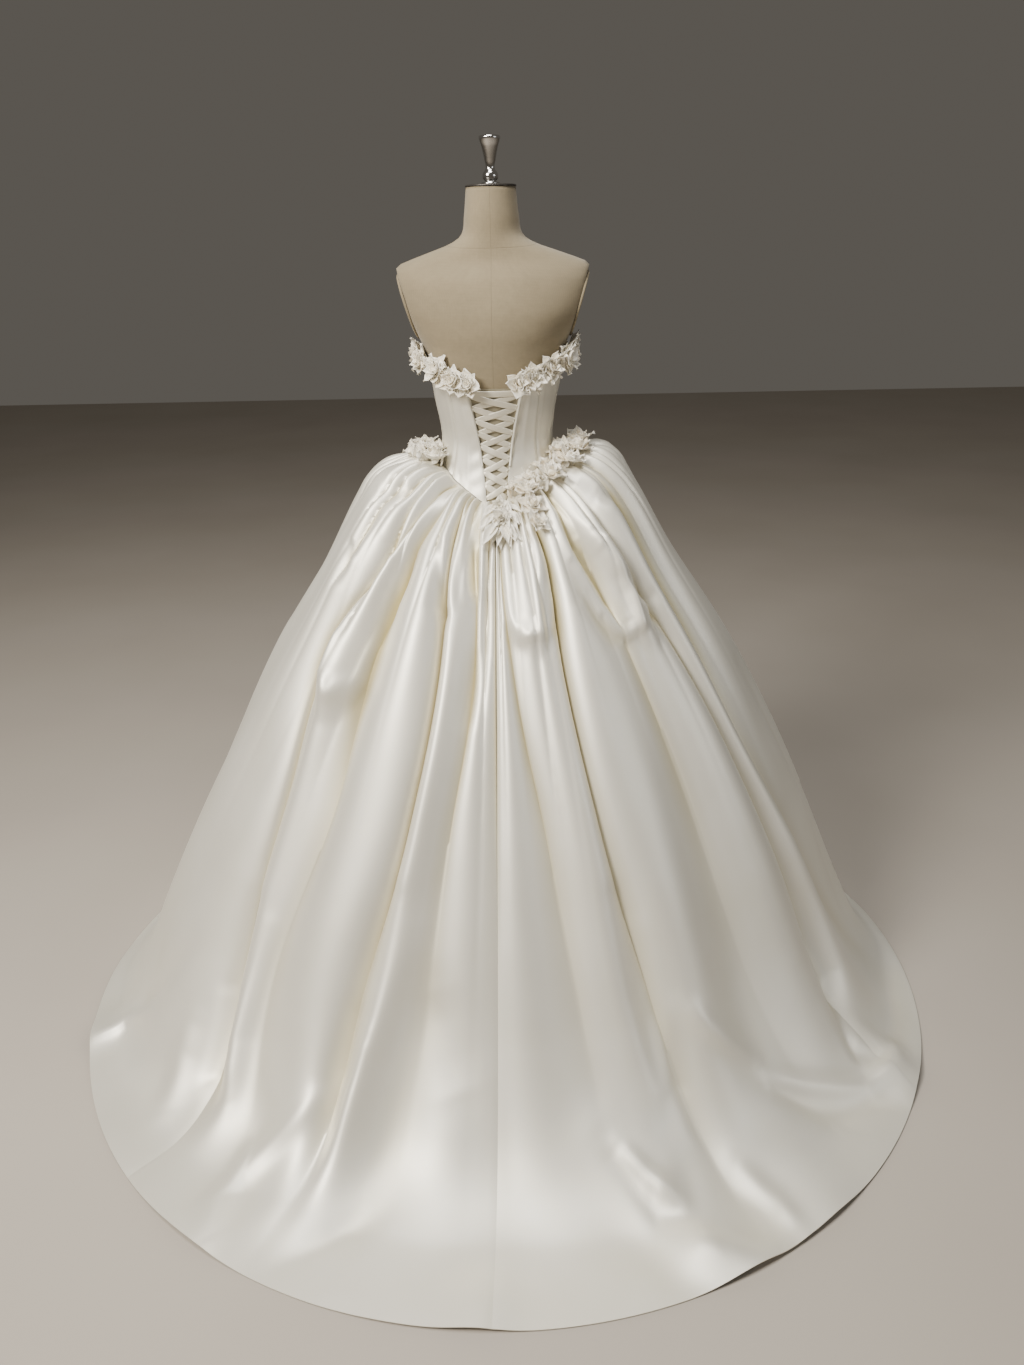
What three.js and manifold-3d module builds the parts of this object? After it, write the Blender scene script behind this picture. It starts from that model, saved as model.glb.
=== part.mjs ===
import * as THREE from 'three';
import Module from 'manifold-3d';

// A strapless ball gown with a laced back and a short train, on a limbless dress form.
// Millimetres, +Z up, the floor at z = 0 and the form's pole on the Z axis.
// The gown's back faces +Y and the wearer's left side is +X.
// Angles go round from the centre back (0) towards the wearer's left (+90) to the front (180).

// Cloth
const WALL = 2;
const SEAM = 0.3;

// How far each layer of the bodice stands off the form.
// FACET is the room that the flat facets of two neighbouring layers need.
const FACET = 1;
const MODESTY_IN = 0.5;
const MODESTY_OUT = MODESTY_IN + 1.2;
const PANEL_IN = MODESTY_OUT + SEAM + FACET;
const PANEL_OUT = PANEL_IN + WALL;
const RIB_HEIGHT = 0.9;
const PIPING_IN = PANEL_OUT + SEAM + FACET;
const TRIM_IN = PANEL_OUT + RIB_HEIGHT + SEAM;
const STRIP_IN = SEAM * 2;
const SKIRT_EDGE = TRIM_IN + FACET / 2;
const NECK_STRIP_IN = TRIM_IN + FACET * 2;

// Dress form and stand
const FORM_BOTTOM = 800;
const NECK_TOP = 1556;
const FORM_SIDES = 22;
const CAP = { radius: 46, height: 3.5, dome: 1.2 };
const POLE_RADIUS = 16;
const BASE = { radius: 190, height: 25, edge: 6, collar: 30 };
const ARM_PLATE = { z: 1358, halfWidth: 42, halfHeight: 56, thickness: 3, sides: 20 };
// The arm openings are cut along a plane that leans in as it goes down.
const ARM_CUT = { z: 1285, x: 135, lean: 0.3 };
// The form is eased in under the bodice.
const FORM_EASE = { depth: 1.5, from: 1190, to: 1225 };
// The bodice is cut with cups, so it stands off the form over the bust.
const BUST = { angle: 140, z: 1216, height: 24, spread: 25, rise: 50 };

// Lacing
const LACE = { top: 1206, step: 23.5, crossings: 8, width: 10.5, thickness: 1, clear: 1.6, edge: 2.3 };
const LACE_IN = MODESTY_OUT + SEAM + LACE.clear;
const PIPING = { width: 4, loop: 3.4, steps: 14 };
const MODESTY_LAP = 11;
const MODESTY_TOP = 1217;

// Skirt
const GORE_SEAM = 0.5;
const WAIST_RISE = 1;
const WAIST_BLEND = 0.2;
const GATHER = { height: 8, peak: 0.05, end: 0.24 };
const ROLL_POWER = 0.68;
const DROOP = { swell: 0.11, drop: 0.035, bow: 0.045 };

const deg = THREE.MathUtils.degToRad;

// Turns rows of bare values into records with the named columns.
const table = (columns, rows) => rows.map((row) => (
  Object.fromEntries(columns.map((name, i) => [name, row[i]]))));

// Dress form: half width, and depth behind and before the pole, at each height
const FORM = table(['z', 'half', 'back', 'front'], [
  [800, 152, 105, 92],
  [860, 162, 115, 95],
  [920, 165, 120, 96],
  [1000, 142, 108, 92],
  [1060, 117, 89, 86],
  [1110, 103, 79, 82],
  [1150, 105, 82, 90],
  [1200, 113, 90, 100],
  [1250, 123, 97, 106],
  [1285, 133, 101, 104],
  [1310, 148, 103, 100],
  [1350, 172, 99, 93],
  [1400, 185, 82, 74],
  [1425, 181, 63, 62],
  [1433, 164, 57, 57],
  [1447, 124, 53, 51],
  [1463, 78, 51, 49],
  [1478, 56, 50, 48],
  [1510, 49.5, 49.5, 48],
  [1556, 44.5, 44.5, 44.5],
]);

// Upper edge of the bodice, by angle from the centre back
const NECKLINE = table(['angle', 'z'], [
  [0, 1217],
  [22, 1228],
  [36, 1238],
  [52, 1249],
  [70, 1264],
  [90, 1284],
  [112, 1293],
  [140, 1304],
  [160, 1298],
  [180, 1284],
]);

// Waist seam, which falls to a point at the centre back
const WAIST = table(['angle', 'z'], [
  [0, 1006],
  [8, 1008],
  [16, 1014],
  [29, 1030],
  [45, 1047],
  [65, 1070],
  [95, 1077],
  [140, 1070],
  [180, 1066],
]);

// Half the gap between the laced edges
const LACED_GAP = table(['z', 'half'], [
  [1000, 16],
  [1020, 18],
  [1065, 22],
  [1115, 28],
  [1165, 37],
  [1225, 50],
]);

// Skirt: radius and height of the cloth's valleys at the back, both sides and the front,
// from the waist (0) down to the hem (1)
const SKIRT = table(['s', 'backR', 'backZ', 'leftR', 'leftZ', 'rightR', 'rightZ', 'frontR', 'frontZ'], [
  [0.00, 112, 1008, 113, 1076, 113, 1076, 94, 1066],
  [0.09, 144, 1000, 178, 1072, 158, 1080, 130, 1054],
  [0.18, 186, 953, 227, 1049, 210, 1069, 175, 1018],
  [0.27, 240, 878, 269, 988, 255, 1012, 222, 940],
  [0.36, 305, 782, 335, 873, 320, 887, 275, 820],
  [0.45, 385, 650, 426, 722, 414, 733, 335, 670],
  [0.55, 470, 500, 515, 560, 504, 564, 400, 505],
  [0.64, 560, 340, 611, 388, 591, 386, 465, 330],
  [0.73, 655, 185, 706, 210, 670, 204, 530, 160],
  [0.82, 765, 62, 778, 67, 741, 71, 580, 45],
  [0.91, 885, 8, 817, 14, 796, 12, 604, 12],
  [1.00, 1028, 2, 843, 2, 830, 2, 622, 2],
]);

// Fold valleys: their angle at seven heights between waist and hem.
// Between one valley and the next the cloth stands out in a round roll.
const STATIONS = [0.1, 0.25, 0.4, 0.55, 0.7, 0.85, 1];
const FOLDS = table(['piece', 'columns', 'crest', 'valley', 'height', 'lip', 'lipAt'], [
  ['back_left', 4, 0.55, [0, 0, 0, 0, 0, 0, 0], [6, 12, 14, 12, 9, 5, 4], 0, 0],
  ['back_left', 6, 0.62, [10, 8, 7, 10, 11.5, 12, 12], [8, 20, 26, 28, 30, 18, 6], 0, 0],
  ['back_left', 8, 0.5, [22, 21, 17.5, 19, 22.5, 22, 23], [8, 24, 34, 38, 34, 16, 5], 0, 0],
  ['back_left', 6, 0.5, [32, 39, 39.5, 37, 38.5, 33, 32], [8, 24, 26, 18, 22, 12, 5], 24, 0.445],
  ['side_left', 8, 0.42, [41.5, 46, 54, 50, 46.5, 40.5, 40], [12, 30, 38, 42, 38, 20, 8], 0, 0],
  ['front', 4, 0.5, [94, 94, 94, 94, 94, 94, 94], [10, 24, 30, 32, 30, 16, 6], 0, 0],
  ['front', 4, 0.5, [115, 114, 115, 116, 115, 114, 115], [9, 20, 26, 28, 26, 14, 5], 0, 0],
  ['front', 4, 0.5, [136, 137, 138, 137, 136, 137, 137], [9, 22, 28, 30, 28, 14, 5], 0, 0],
  ['front', 4, 0.5, [158, 159, 158, 159, 160, 159, 158], [9, 20, 26, 28, 25, 13, 5], 0, 0],
  ['front', 4, 0.5, [180, 179, 180, 181, 180, 180, 181], [9, 22, 27, 30, 28, 14, 5], 0, 0],
  ['front', 4, 0.5, [202, 203, 202, 201, 202, 203, 202], [9, 20, 26, 28, 25, 13, 5], 0, 0],
  ['front', 4, 0.5, [224, 223, 224, 225, 224, 223, 224], [9, 22, 28, 30, 27, 14, 5], 0, 0],
  ['front', 4, 0.5, [245, 246, 245, 244, 245, 246, 245], [9, 24, 29, 31, 28, 15, 6], 0, 0],
  ['side_right', 6, 0.5, [266, 266, 266, 266, 266, 266, 266], [10, 26, 34, 38, 36, 20, 8], 0, 0],
  ['side_right', 4, 0.55, [294, 293.5, 293, 293, 288.5, 285, 284], [10, 24, 30, 30, 32, 20, 8], 0, 0],
  ['back_right', 6, 0.5, [310, 309, 303.5, 300.5, 299.5, 303, 306], [8, 20, 20, 28, 32, 16, 6], 24, 0.385],
  ['back_right', 8, 0.6, [320.5, 319.5, 317.5, 316, 316.5, 317, 317], [8, 24, 32, 34, 30, 14, 6], 0, 0],
  ['back_right', 6, 0.45, [339, 336.5, 339, 338, 335, 334, 334], [9, 24, 22, 26, 28, 16, 5], 26, 0.345],
  ['back_right', 4, 0.5, [357, 357, 354, 349.5, 347, 346, 346], [5, 9, 14, 16, 14, 8, 4], 0, 0],
]);

const SKIRT_ROWS = [
  0, 0.035, 0.08, 0.13, 0.19, 0.25, 0.3, 0.345, 0.385, 0.445,
  0.485, 0.56, 0.64, 0.72, 0.8, 0.87, 0.94, 1,
];

// Ripples of the train on the floor: a soft ridge from one plan point to another
const RIPPLES = table(['x0', 'y0', 'x1', 'y1', 'height', 'width'], [
  [-174, 727, -330, 883, 16, 55],
  [-330, 883, -421, 920, 12, 50],
  [334, 830, 278, 708, 18, 60],
  [-656, 428, -738, 515, 22, 55],
  [825, 413, 682, 303, 14, 45],
  [-466, 591, -555, 837, 12, 70],
  [52, 1043, -24, 961, 14, 70],
  [444, 631, 525, 865, 10, 80],
]);

// Flowers along the neckline: angle, height of the centre against the edge, radius,
// how far the face tips up, and turn about its own axis
const NECK_FLOWERS = table(['angle', 'drop', 'radius', 'tip', 'spin'], [
  [25, 6, 21, 20, 0],
  [40, 8, 24, 15, 30],
  [57, 6, 23, 25, 10],
  [75, 7, 24, 15, 50],
  [91, 9, 20, 5, 20],
]);

// Flowers on the gathered top of the skirt: angle, place between waist and hem, radius,
// how far the face leans out from the cloth's own direction, turn, and length of its stalk
const WAIST_FLOWERS_RIGHT = table(['angle', 's', 'radius', 'lean', 'spin', 'stalk'], [
  [-16, 0.035, 20, 8, 50, 8],
  [-28, 0.08, 24, 8, 0, 7],
  [-30, 0.035, 22, 8, 20, 8],
  [-43, 0.08, 24, 8, 36, 7],
  [-58, 0.08, 26, 8, 15, 7],
  [-75, 0.08, 26, 8, 60, 6],
  [-91, 0.08, 26, 8, 25, 6],
  [-28, 0.13, 21, 0, 45, 10],
  [-27, 0.19, 22, 0, 30, 11],
]);
const WAIST_FLOWERS_LEFT = table(['angle', 's', 'radius', 'lean', 'spin', 'stalk'], [
  [61, 0.035, 23, 0, 0, 7],
  [78, 0.035, 24, 0, 35, 7],
  [96, 0.035, 23, 0, 10, 7],
]);
const POINT_FLOWERS = table(['angle', 's', 'radius', 'lean', 'spin', 'stalk'], [
  [-3, 0.13, 21, 0, 8, 10],
  [-3, 0.19, 23, 6, 38, 13],
]);
const FLOWER = { petals: 5, hub: 4, sink: 0.7, petal: 1.3 };

const MATERIALS = {
  satin: new THREE.MeshStandardMaterial({ color: 0xece8dc, roughness: 0.42, metalness: 0 }),
  ribbon: new THREE.MeshStandardMaterial({ color: 0xe6e0d0, roughness: 0.4, metalness: 0 }),
  petal: new THREE.MeshStandardMaterial({ color: 0xf2ede2, roughness: 0.55, metalness: 0 }),
  linen: new THREE.MeshStandardMaterial({ color: 0xa08f74, roughness: 0.9, metalness: 0 }),
  steel: new THREE.MeshStandardMaterial({ color: 0xb9b6b2, roughness: 0.2, metalness: 1 }),
  darkMetal: new THREE.MeshStandardMaterial({ color: 0x3a3632, roughness: 0.45, metalness: 1 }),
};

const wasm = await Module();
wasm.setup();

const smooth = (from, to, x) => THREE.MathUtils.smoothstep(x, from, to);
const clamp = THREE.MathUtils.clamp;

// Smooth value between the rows of a table, with slopes taken from the neighbouring rows.
function between(rows, key, value, at) {
  const last = rows.length - 1;
  let i = 0;
  while (i < last - 1 && rows[i + 1][key] <= at) {
    i += 1;
  }
  const slope = (k) => {
    const a = rows[Math.max(k - 1, 0)];
    const b = rows[Math.min(k + 1, last)];
    return (b[value] - a[value]) / (b[key] - a[key]);
  };
  const span = rows[i + 1][key] - rows[i][key];
  const t = clamp((at - rows[i][key]) / span, 0, 1);
  const t2 = t * t;
  const t3 = t2 * t;
  return (2 * t3 - 3 * t2 + 1) * rows[i][value] + (t3 - 2 * t2 + t) * span * slope(i)
    + (3 * t2 - 2 * t3) * rows[i + 1][value] + (t3 - t2) * span * slope(i + 1);
}

const turned = (angle) => ((angle + 180) % 360 + 360) % 360 - 180;

// A point at an angle and height, moved out from the form along the section's normal.
function formPoint(angle, z, out) {
  const half = between(FORM, 'z', 'half', z);
  const across = Math.sin(deg(angle));
  const along = Math.cos(deg(angle));
  const depth = between(FORM, 'z', along > 0 ? 'back' : 'front', z);
  const radius = 1 / Math.hypot(across / half, along / depth);
  const x = radius * across;
  const y = radius * along;
  const normal = new THREE.Vector2(x / half ** 2, y / depth ** 2).normalize();
  return new THREE.Vector3(x + normal.x * out, y + normal.y * out, z);
}

// How far the cups stand out over the bust.
function cup(angle, z) {
  const off = (Math.abs(turned(angle)) - BUST.angle) / BUST.spread;
  return BUST.height * Math.exp(-(off ** 2) - ((z - BUST.z) / BUST.rise) ** 2);
}

const neckline = (angle) => between(NECKLINE, 'angle', 'z', Math.abs(turned(angle)));

// Height of the waist seam, with the point at the centre back.
function waist(angle) {
  return between(WAIST, 'angle', 'z', Math.abs(turned(angle)));
}

// Angle of a point on the back at a distance to the left of the centre.
function backAngle(x, z) {
  const half = between(FORM, 'z', 'half', z);
  const depth = between(FORM, 'z', 'back', z);
  const y = depth * Math.sqrt(1 - (x / half) ** 2);
  return THREE.MathUtils.radToDeg(Math.atan2(x, y));
}

const lacedEdge = (z) => backAngle(between(LACED_GAP, 'z', 'half', z), z);

// Closed geometry from points and triangles, turned so that its faces point out.
function closed(points, triangles) {
  let volume = 0;
  for (const [a, b, c] of triangles) {
    volume += points[a].dot(points[b].clone().cross(points[c]));
  }
  const faces = volume < 0 ? triangles.map(([a, b, c]) => [a, c, b]) : triangles;
  const geometry = new THREE.BufferGeometry();
  geometry.setAttribute('position', new THREE.Float32BufferAttribute(points.flatMap((p) => p.toArray()), 3));
  geometry.setIndex(faces.flat());
  return geometry;
}

// A wall between two grids of points, outer[row][column] and inner[row][column].
function wall(outer, inner) {
  const rows = outer.length;
  const columns = outer[0].length;
  const points = [...outer.flat(), ...inner.flat()];
  const front = (i, j) => i * columns + j;
  const back = (i, j) => rows * columns + i * columns + j;
  const triangles = [];
  const quad = (a, b, c, d) => triangles.push([a, b, c], [a, c, d]);
  for (let i = 0; i < rows - 1; i += 1) {
    for (let j = 0; j < columns - 1; j += 1) {
      quad(front(i, j), front(i, j + 1), front(i + 1, j + 1), front(i + 1, j));
      quad(back(i, j), back(i + 1, j), back(i + 1, j + 1), back(i, j + 1));
    }
    quad(front(i + 1, 0), back(i + 1, 0), back(i, 0), front(i, 0));
    quad(front(i, columns - 1), back(i, columns - 1), back(i + 1, columns - 1), front(i + 1, columns - 1));
  }
  for (let j = 0; j < columns - 1; j += 1) {
    quad(front(0, j), back(0, j), back(0, j + 1), front(0, j + 1));
    quad(front(rows - 1, j + 1), back(rows - 1, j + 1), back(rows - 1, j), front(rows - 1, j));
  }
  return closed(points, triangles);
}

// A solid through closed rings, with a flat fan over each end.
function loft(rings) {
  const sides = rings[0].length;
  const points = rings.flat();
  const triangles = [];
  for (let i = 0; i < rings.length - 1; i += 1) {
    for (let j = 0; j < sides; j += 1) {
      const a = i * sides + j;
      const b = i * sides + ((j + 1) % sides);
      triangles.push([a, b, b + sides], [a, b + sides, a + sides]);
    }
  }
  const end = (ring, turn) => {
    const middle = points.length;
    points.push(rings[ring].reduce((sum, p) => sum.add(p), new THREE.Vector3()).divideScalar(sides));
    for (let j = 0; j < sides; j += 1) {
      const a = ring * sides + j;
      const b = ring * sides + ((j + 1) % sides);
      triangles.push(turn ? [b, a, middle] : [a, b, middle]);
    }
  };
  end(0, true);
  end(rings.length - 1, false);
  return closed(points, triangles);
}

// Turned piece about the Z axis, from a profile of radius and height pairs.
function turning(profile, sides) {
  const lathe = new THREE.LatheGeometry(profile.map(([r, z]) => new THREE.Vector2(r, z)), sides);
  return lathe.rotateX(Math.PI / 2);
}

const solid = (geometry) => new wasm.Manifold(new wasm.Mesh({
  numProp: 3,
  vertProperties: new Float32Array(geometry.getAttribute('position').array),
  triVerts: new Uint32Array(geometry.index.array),
}));

// One body from several closed geometries that overlap.
function fused(geometries) {
  const mesh = geometries.map(solid).reduce((sum, piece) => sum.add(piece)).getMesh();
  const geometry = new THREE.BufferGeometry();
  geometry.setAttribute('position', new THREE.Float32BufferAttribute(mesh.vertProperties, 3));
  geometry.setIndex([...mesh.triVerts]);
  return geometry;
}

const dress = new THREE.Group();
function add(name, geometry, material) {
  const mesh = new THREE.Mesh(geometry, material);
  mesh.name = name;
  dress.add(mesh);
}

// Dress form
function formRing(z) {
  const half = between(FORM, 'z', 'half', z);
  const limit = ARM_CUT.x + ARM_CUT.lean * (z - ARM_CUT.z);
  const ease = -FORM_EASE.depth * (1 - smooth(FORM_EASE.from, FORM_EASE.to, z));
  return Array.from({ length: FORM_SIDES }, (_, k) => {
    const step = 2 * Math.PI * k / FORM_SIDES;
    const depth = between(FORM, 'z', Math.cos(step) > 0 ? 'back' : 'front', z);
    const angle = THREE.MathUtils.radToDeg(Math.atan2(half * Math.sin(step), depth * Math.cos(step)));
    const point = formPoint(angle, z, ease);
    point.x = clamp(point.x, -limit, limit);
    return point;
  });
}

const FORM_RINGS = [
  FORM_BOTTOM, 860, 920, 1000, 1060, 1110, 1150, 1190, 1230, 1265, 1300, 1340,
  1380, 1410, 1425, 1434, 1442, 1450, 1463, 1480, 1510, NECK_TOP,
];
add('form_torso', loft(FORM_RINGS.map(formRing)), MATERIALS.linen);

function armPlate(side) {
  const plate = new THREE.CylinderGeometry(1, 1, 1, ARM_PLATE.sides);
  plate.scale(ARM_PLATE.halfHeight, ARM_PLATE.thickness, ARM_PLATE.halfWidth);
  const slope = new THREE.Vector3(ARM_CUT.lean, 0, 1).normalize();
  const out = new THREE.Vector3(1, 0, -ARM_CUT.lean).normalize();
  const centre = new THREE.Vector3(ARM_CUT.x + ARM_CUT.lean * (ARM_PLATE.z - ARM_CUT.z), 0, ARM_PLATE.z)
    .addScaledVector(out, ARM_PLATE.thickness / 2 + SEAM);
  const back = new THREE.Vector3(0, 1, 0);
  plate.applyMatrix4(new THREE.Matrix4().makeBasis(slope, out, back).setPosition(centre));
  return side > 0 ? plate : plate.rotateZ(Math.PI);
}
add('arm_plate_left', armPlate(1), MATERIALS.darkMetal);
add('arm_plate_right', armPlate(-1), MATERIALS.darkMetal);

const CAP_BOTTOM = NECK_TOP + SEAM;
const CAP_TOP = CAP_BOTTOM + CAP.height;
add('neck_cap', turning([
  [0, CAP_BOTTOM],
  [CAP.radius, CAP_BOTTOM],
  [CAP.radius, CAP_TOP - CAP.dome],
  [CAP.radius - 2, CAP_TOP],
  [0, CAP_TOP],
], 28), MATERIALS.darkMetal);

const FINIAL_BOTTOM = CAP_TOP + SEAM;
const FINIAL = table(['radius', 'rise'], [
  [0, 0],
  [17, 0],
  [17, 2.5],
  [10, 4.5],
  [13.2, 8.5],
  [14.2, 13.5],
  [12.6, 19],
  [9, 23.5],
  [8, 28],
  [10.5, 41],
  [15.2, 61],
  [19.2, 74],
  [18.6, 77],
  [15, 78.5],
  [0, 78.5],
]);
add('finial', turning(FINIAL.map(({ radius, rise }) => [radius, FINIAL_BOTTOM + rise]), 18), MATERIALS.steel);

add('stand_base', turning([
  [0, 0],
  [BASE.radius - BASE.edge / 2, 0],
  [BASE.radius, BASE.edge / 2],
  [BASE.radius - BASE.edge, BASE.edge * 2],
  [BASE.collar * 2, BASE.height - 3],
  [BASE.collar, BASE.height],
  [0, BASE.height],
], 32), MATERIALS.darkMetal);
add('stand_pole', turning([
  [0, BASE.height + SEAM],
  [POLE_RADIUS, BASE.height + SEAM],
  [POLE_RADIUS, FORM_BOTTOM - SEAM],
  [0, FORM_BOTTOM - SEAM],
], 16), MATERIALS.steel);

// Bodice panels, each between two seams, with a boned rib by each seam and down the middle.
// A laced edge has piping in place of its rib.
const PANEL_ROWS = 7;
const RIB_COLUMNS = table(['u', 'rib'], [
  [0, 0],
  [0.08, 1],
  [0.16, 0],
  [0.42, 0],
  [0.5, 2],
  [0.58, 0],
  [0.84, 0],
  [0.92, 3],
  [1, 0],
]);

function bodicePanel(from, to, ribs) {
  const grid = (out, ribHeight) => Array.from({ length: PANEL_ROWS + 1 }, (_, i) => {
    const v = i / PANEL_ROWS;
    return RIB_COLUMNS.map(({ u, rib }) => {
      const raised = rib > 0 && ribs[rib - 1] ? ribHeight : 0;
      const guess = THREE.MathUtils.lerp(from(1100), to(1100), u);
      const level = THREE.MathUtils.lerp(waist(guess), neckline(guess), v);
      const angle = THREE.MathUtils.lerp(from(level), to(level), u);
      const z = THREE.MathUtils.lerp(waist(angle), neckline(angle), v);
      return formPoint(angle, z, out + cup(angle, z) + raised);
    });
  });
  return wall(grid(PANEL_OUT, RIB_HEIGHT), grid(PANEL_IN, 0));
}

// A seam line at one angle, half the seam gap to one side of it.
const seamAt = (angle, side) => (z) => {
  const radius = Math.hypot(...formPoint(angle, z, PANEL_OUT).toArray().slice(0, 2));
  return angle + side * THREE.MathUtils.radToDeg(SEAM / 2 / radius);
};
const BACK_SEAM = 52;
const SIDE_SEAM = 100;
const FRONT_SEAM = 150;
const ALL_RIBS = [true, true, true];
const PANELS = [
  ['bodice_back_left', lacedEdge, seamAt(BACK_SEAM, -1), [false, true, true]],
  ['bodice_side_left', seamAt(BACK_SEAM, 1), seamAt(SIDE_SEAM, -1)],
  ['bodice_front_left', seamAt(SIDE_SEAM, 1), seamAt(FRONT_SEAM, -1)],
  ['bodice_front_center', seamAt(FRONT_SEAM, 1), seamAt(360 - FRONT_SEAM, -1)],
  ['bodice_front_right', seamAt(360 - FRONT_SEAM, 1), seamAt(360 - SIDE_SEAM, -1)],
  ['bodice_side_right', seamAt(360 - SIDE_SEAM, 1), seamAt(360 - BACK_SEAM, -1)],
  ['bodice_back_right', seamAt(360 - BACK_SEAM, 1), (z) => 360 - lacedEdge(z), [true, true, false]],
];
for (const [name, from, to, ribs = ALL_RIBS] of PANELS) {
  add(name, bodicePanel(from, to, ribs), MATERIALS.satin);
}

// Modesty panel behind the lacing, lapping under both laced edges
const MODESTY_COLUMNS = 6;
const MODESTY_ROWS = 6;
function modestyPanel() {
  const lowest = waist(0);
  const grid = (out) => Array.from({ length: MODESTY_ROWS + 1 }, (_, i) => {
    const z = THREE.MathUtils.lerp(lowest, MODESTY_TOP, i / MODESTY_ROWS);
    const reach = between(LACED_GAP, 'z', 'half', z) + MODESTY_LAP * smooth(lowest, lowest + 60, z) - 2;
    return Array.from({ length: MODESTY_COLUMNS + 1 }, (__, j) => {
      const x = reach * (2 * j / MODESTY_COLUMNS - 1);
      return formPoint(backAngle(x, z), z, out);
    });
  });
  return wall(grid(MODESTY_OUT), grid(MODESTY_IN));
}
add('modesty_panel', modestyPanel(), MATERIALS.satin);

// Piping along each laced edge, with a small loop towards the gap at every lacing level
function piping(side) {
  const grid = (out) => Array.from({ length: PIPING.steps + 1 }, (_, i) => {
    const z = LACE.top - LACE.step * i / 2;
    const edge = between(LACED_GAP, 'z', 'half', z);
    const loop = i % 2 === 0 ? PIPING.loop : 0;
    return [edge - loop, edge + PIPING.width].map((x) => formPoint(side * backAngle(x, z), z, out));
  });
  return wall(grid(PIPING_IN + WALL), grid(PIPING_IN));
}
add('piping_left', piping(1), MATERIALS.satin);
add('piping_right', piping(-1), MATERIALS.satin);

// A thin plate on the back of the form, from flat points (across, height) and triangles.
function backPlate(flat, triangles, inside, outside) {
  const layer = (out) => flat.map(([x, z]) => formPoint(backAngle(x, z), z, out));
  const count = flat.length;
  const edges = new Map();
  for (const [a, b, c] of triangles) {
    for (const [from, to] of [[a, b], [b, c], [c, a]]) {
      edges.set(`${from} ${to}`, [from, to]);
    }
  }
  const faces = [];
  triangles.forEach(([a, b, c]) => faces.push([a, b, c], [a + count, c + count, b + count]));
  for (const [from, to] of edges.values()) {
    if (!edges.has(`${to} ${from}`)) {
      faces.push([to, from, from + count], [to, from + count, to + count]);
    }
  }
  return closed([...layer(outside), ...layer(inside)], faces);
}

// Ribbon lacing: a straight band at the top, then crossed bands down to the point
function lacing() {
  const flat = [];
  const triangles = [];
  const half = LACE.width / 2;
  const place = (x, z) => flat.push([x, z]) - 1;
  const level = (k) => LACE.top - LACE.step * k;
  const gap = (z) => between(LACED_GAP, 'z', 'half', z) - LACE.edge;
  const open = 1 - LACE.width / LACE.step;
  const ends = [];
  const holes = [];
  for (let k = 0; k <= LACE.crossings; k += 1) {
    const z = level(k);
    ends.push([1, -1].map((side) => [place(side * gap(z), z + half), place(side * gap(z), z - half)]));
    holes.push([1, -1].map((side) => place(side * gap(z) * open, z)));
  }
  const crosses = [];
  for (let k = 0; k < LACE.crossings; k += 1) {
    const z = level(k + 0.5);
    const sides = [1, -1].map((side) => place(side * gap(z) * (1 - open), z));
    crosses.push({ high: place(0, z + half), low: place(0, z - half), sides });
  }
  const top = [1, -1].map((side) => place(side * gap(LACE.top) / 2, LACE.top + half));
  const topMiddle = place(0, LACE.top + half);
  [1, -1].forEach((side, i) => {
    const face = (a, b, c) => triangles.push(side > 0 ? [a, b, c] : [a, c, b]);
    const quad = (a, b, c, d) => {
      face(a, b, c);
      face(a, c, d);
    };
    const first = crosses[0];
    const [high, low] = ends[0][i];
    quad(high, top[i], first.sides[i], low);
    quad(top[i], topMiddle, first.high, first.sides[i]);
    crosses.forEach((cross, k) => {
      face(cross.high, cross.low, cross.sides[i]);
      const [above, below] = ends[k + 1][i];
      const next = crosses[k + 1];
      if (!next) {
        quad(above, cross.sides[i], cross.low, below);
        return;
      }
      const hole = holes[k + 1][i];
      quad(above, cross.sides[i], cross.low, hole);
      quad(below, hole, next.high, next.sides[i]);
      face(above, hole, below);
    });
  });
  const used = [...new Set(triangles.flat())];
  const order = new Map(used.map((old, index) => [old, index]));
  const faces = triangles.map((face) => face.map((old) => order.get(old)));
  return backPlate(used.map((old) => flat[old]), faces, LACE_IN, LACE_IN + LACE.thickness);
}
add('lacing_ribbon', lacing(), MATERIALS.ribbon);

// Skirt
// Mix of the four directions of a row of the skirt table at one angle.
function around(angle, back, left, right, front) {
  const across = Math.sin(deg(angle));
  const along = Math.cos(deg(angle));
  const side = (left + right) / 2;
  return side + (left - right) / 2 * across + (back - front) / 2 * along
    + ((back + front) / 2 - side) * along ** 2;
}

function skirtBase(angle, s) {
  const value = (name) => between(SKIRT, 's', name, s);
  return new THREE.Vector2(
    around(angle, value('backR'), value('leftR'), value('rightR'), value('frontR')),
    around(angle, value('backZ'), value('leftZ'), value('rightZ'), value('frontZ')),
  );
}

// The valley surface, joined to the waist seam just outside the bodice.
function skirtValley(angle, s) {
  const base = skirtBase(angle, s);
  const height = waist(angle) + WAIST_RISE;
  const edge = formPoint(angle, height, SKIRT_EDGE);
  const start = new THREE.Vector2(Math.hypot(edge.x, edge.y), height);
  return base.add(start.sub(skirtBase(angle, 0)).multiplyScalar(1 - smooth(0, WAIST_BLEND, s)));
}

// Outward direction of the valley surface, as a radial and a vertical part.
function skirtOutward(angle, s) {
  const step = 0.01;
  const down = skirtValley(angle, Math.min(s + step, 1)).sub(skirtValley(angle, Math.max(s - step, 0)));
  return new THREE.Vector2(-down.y, down.x).normalize();
}

// Value of a fold's list at a place between waist and hem.
function along(list, s, atWaist) {
  const rows = [{ s: 0, v: atWaist }, ...STATIONS.map((station, i) => ({ s: station, v: list[i] }))];
  return between(rows, 's', 'v', s);
}

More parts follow.
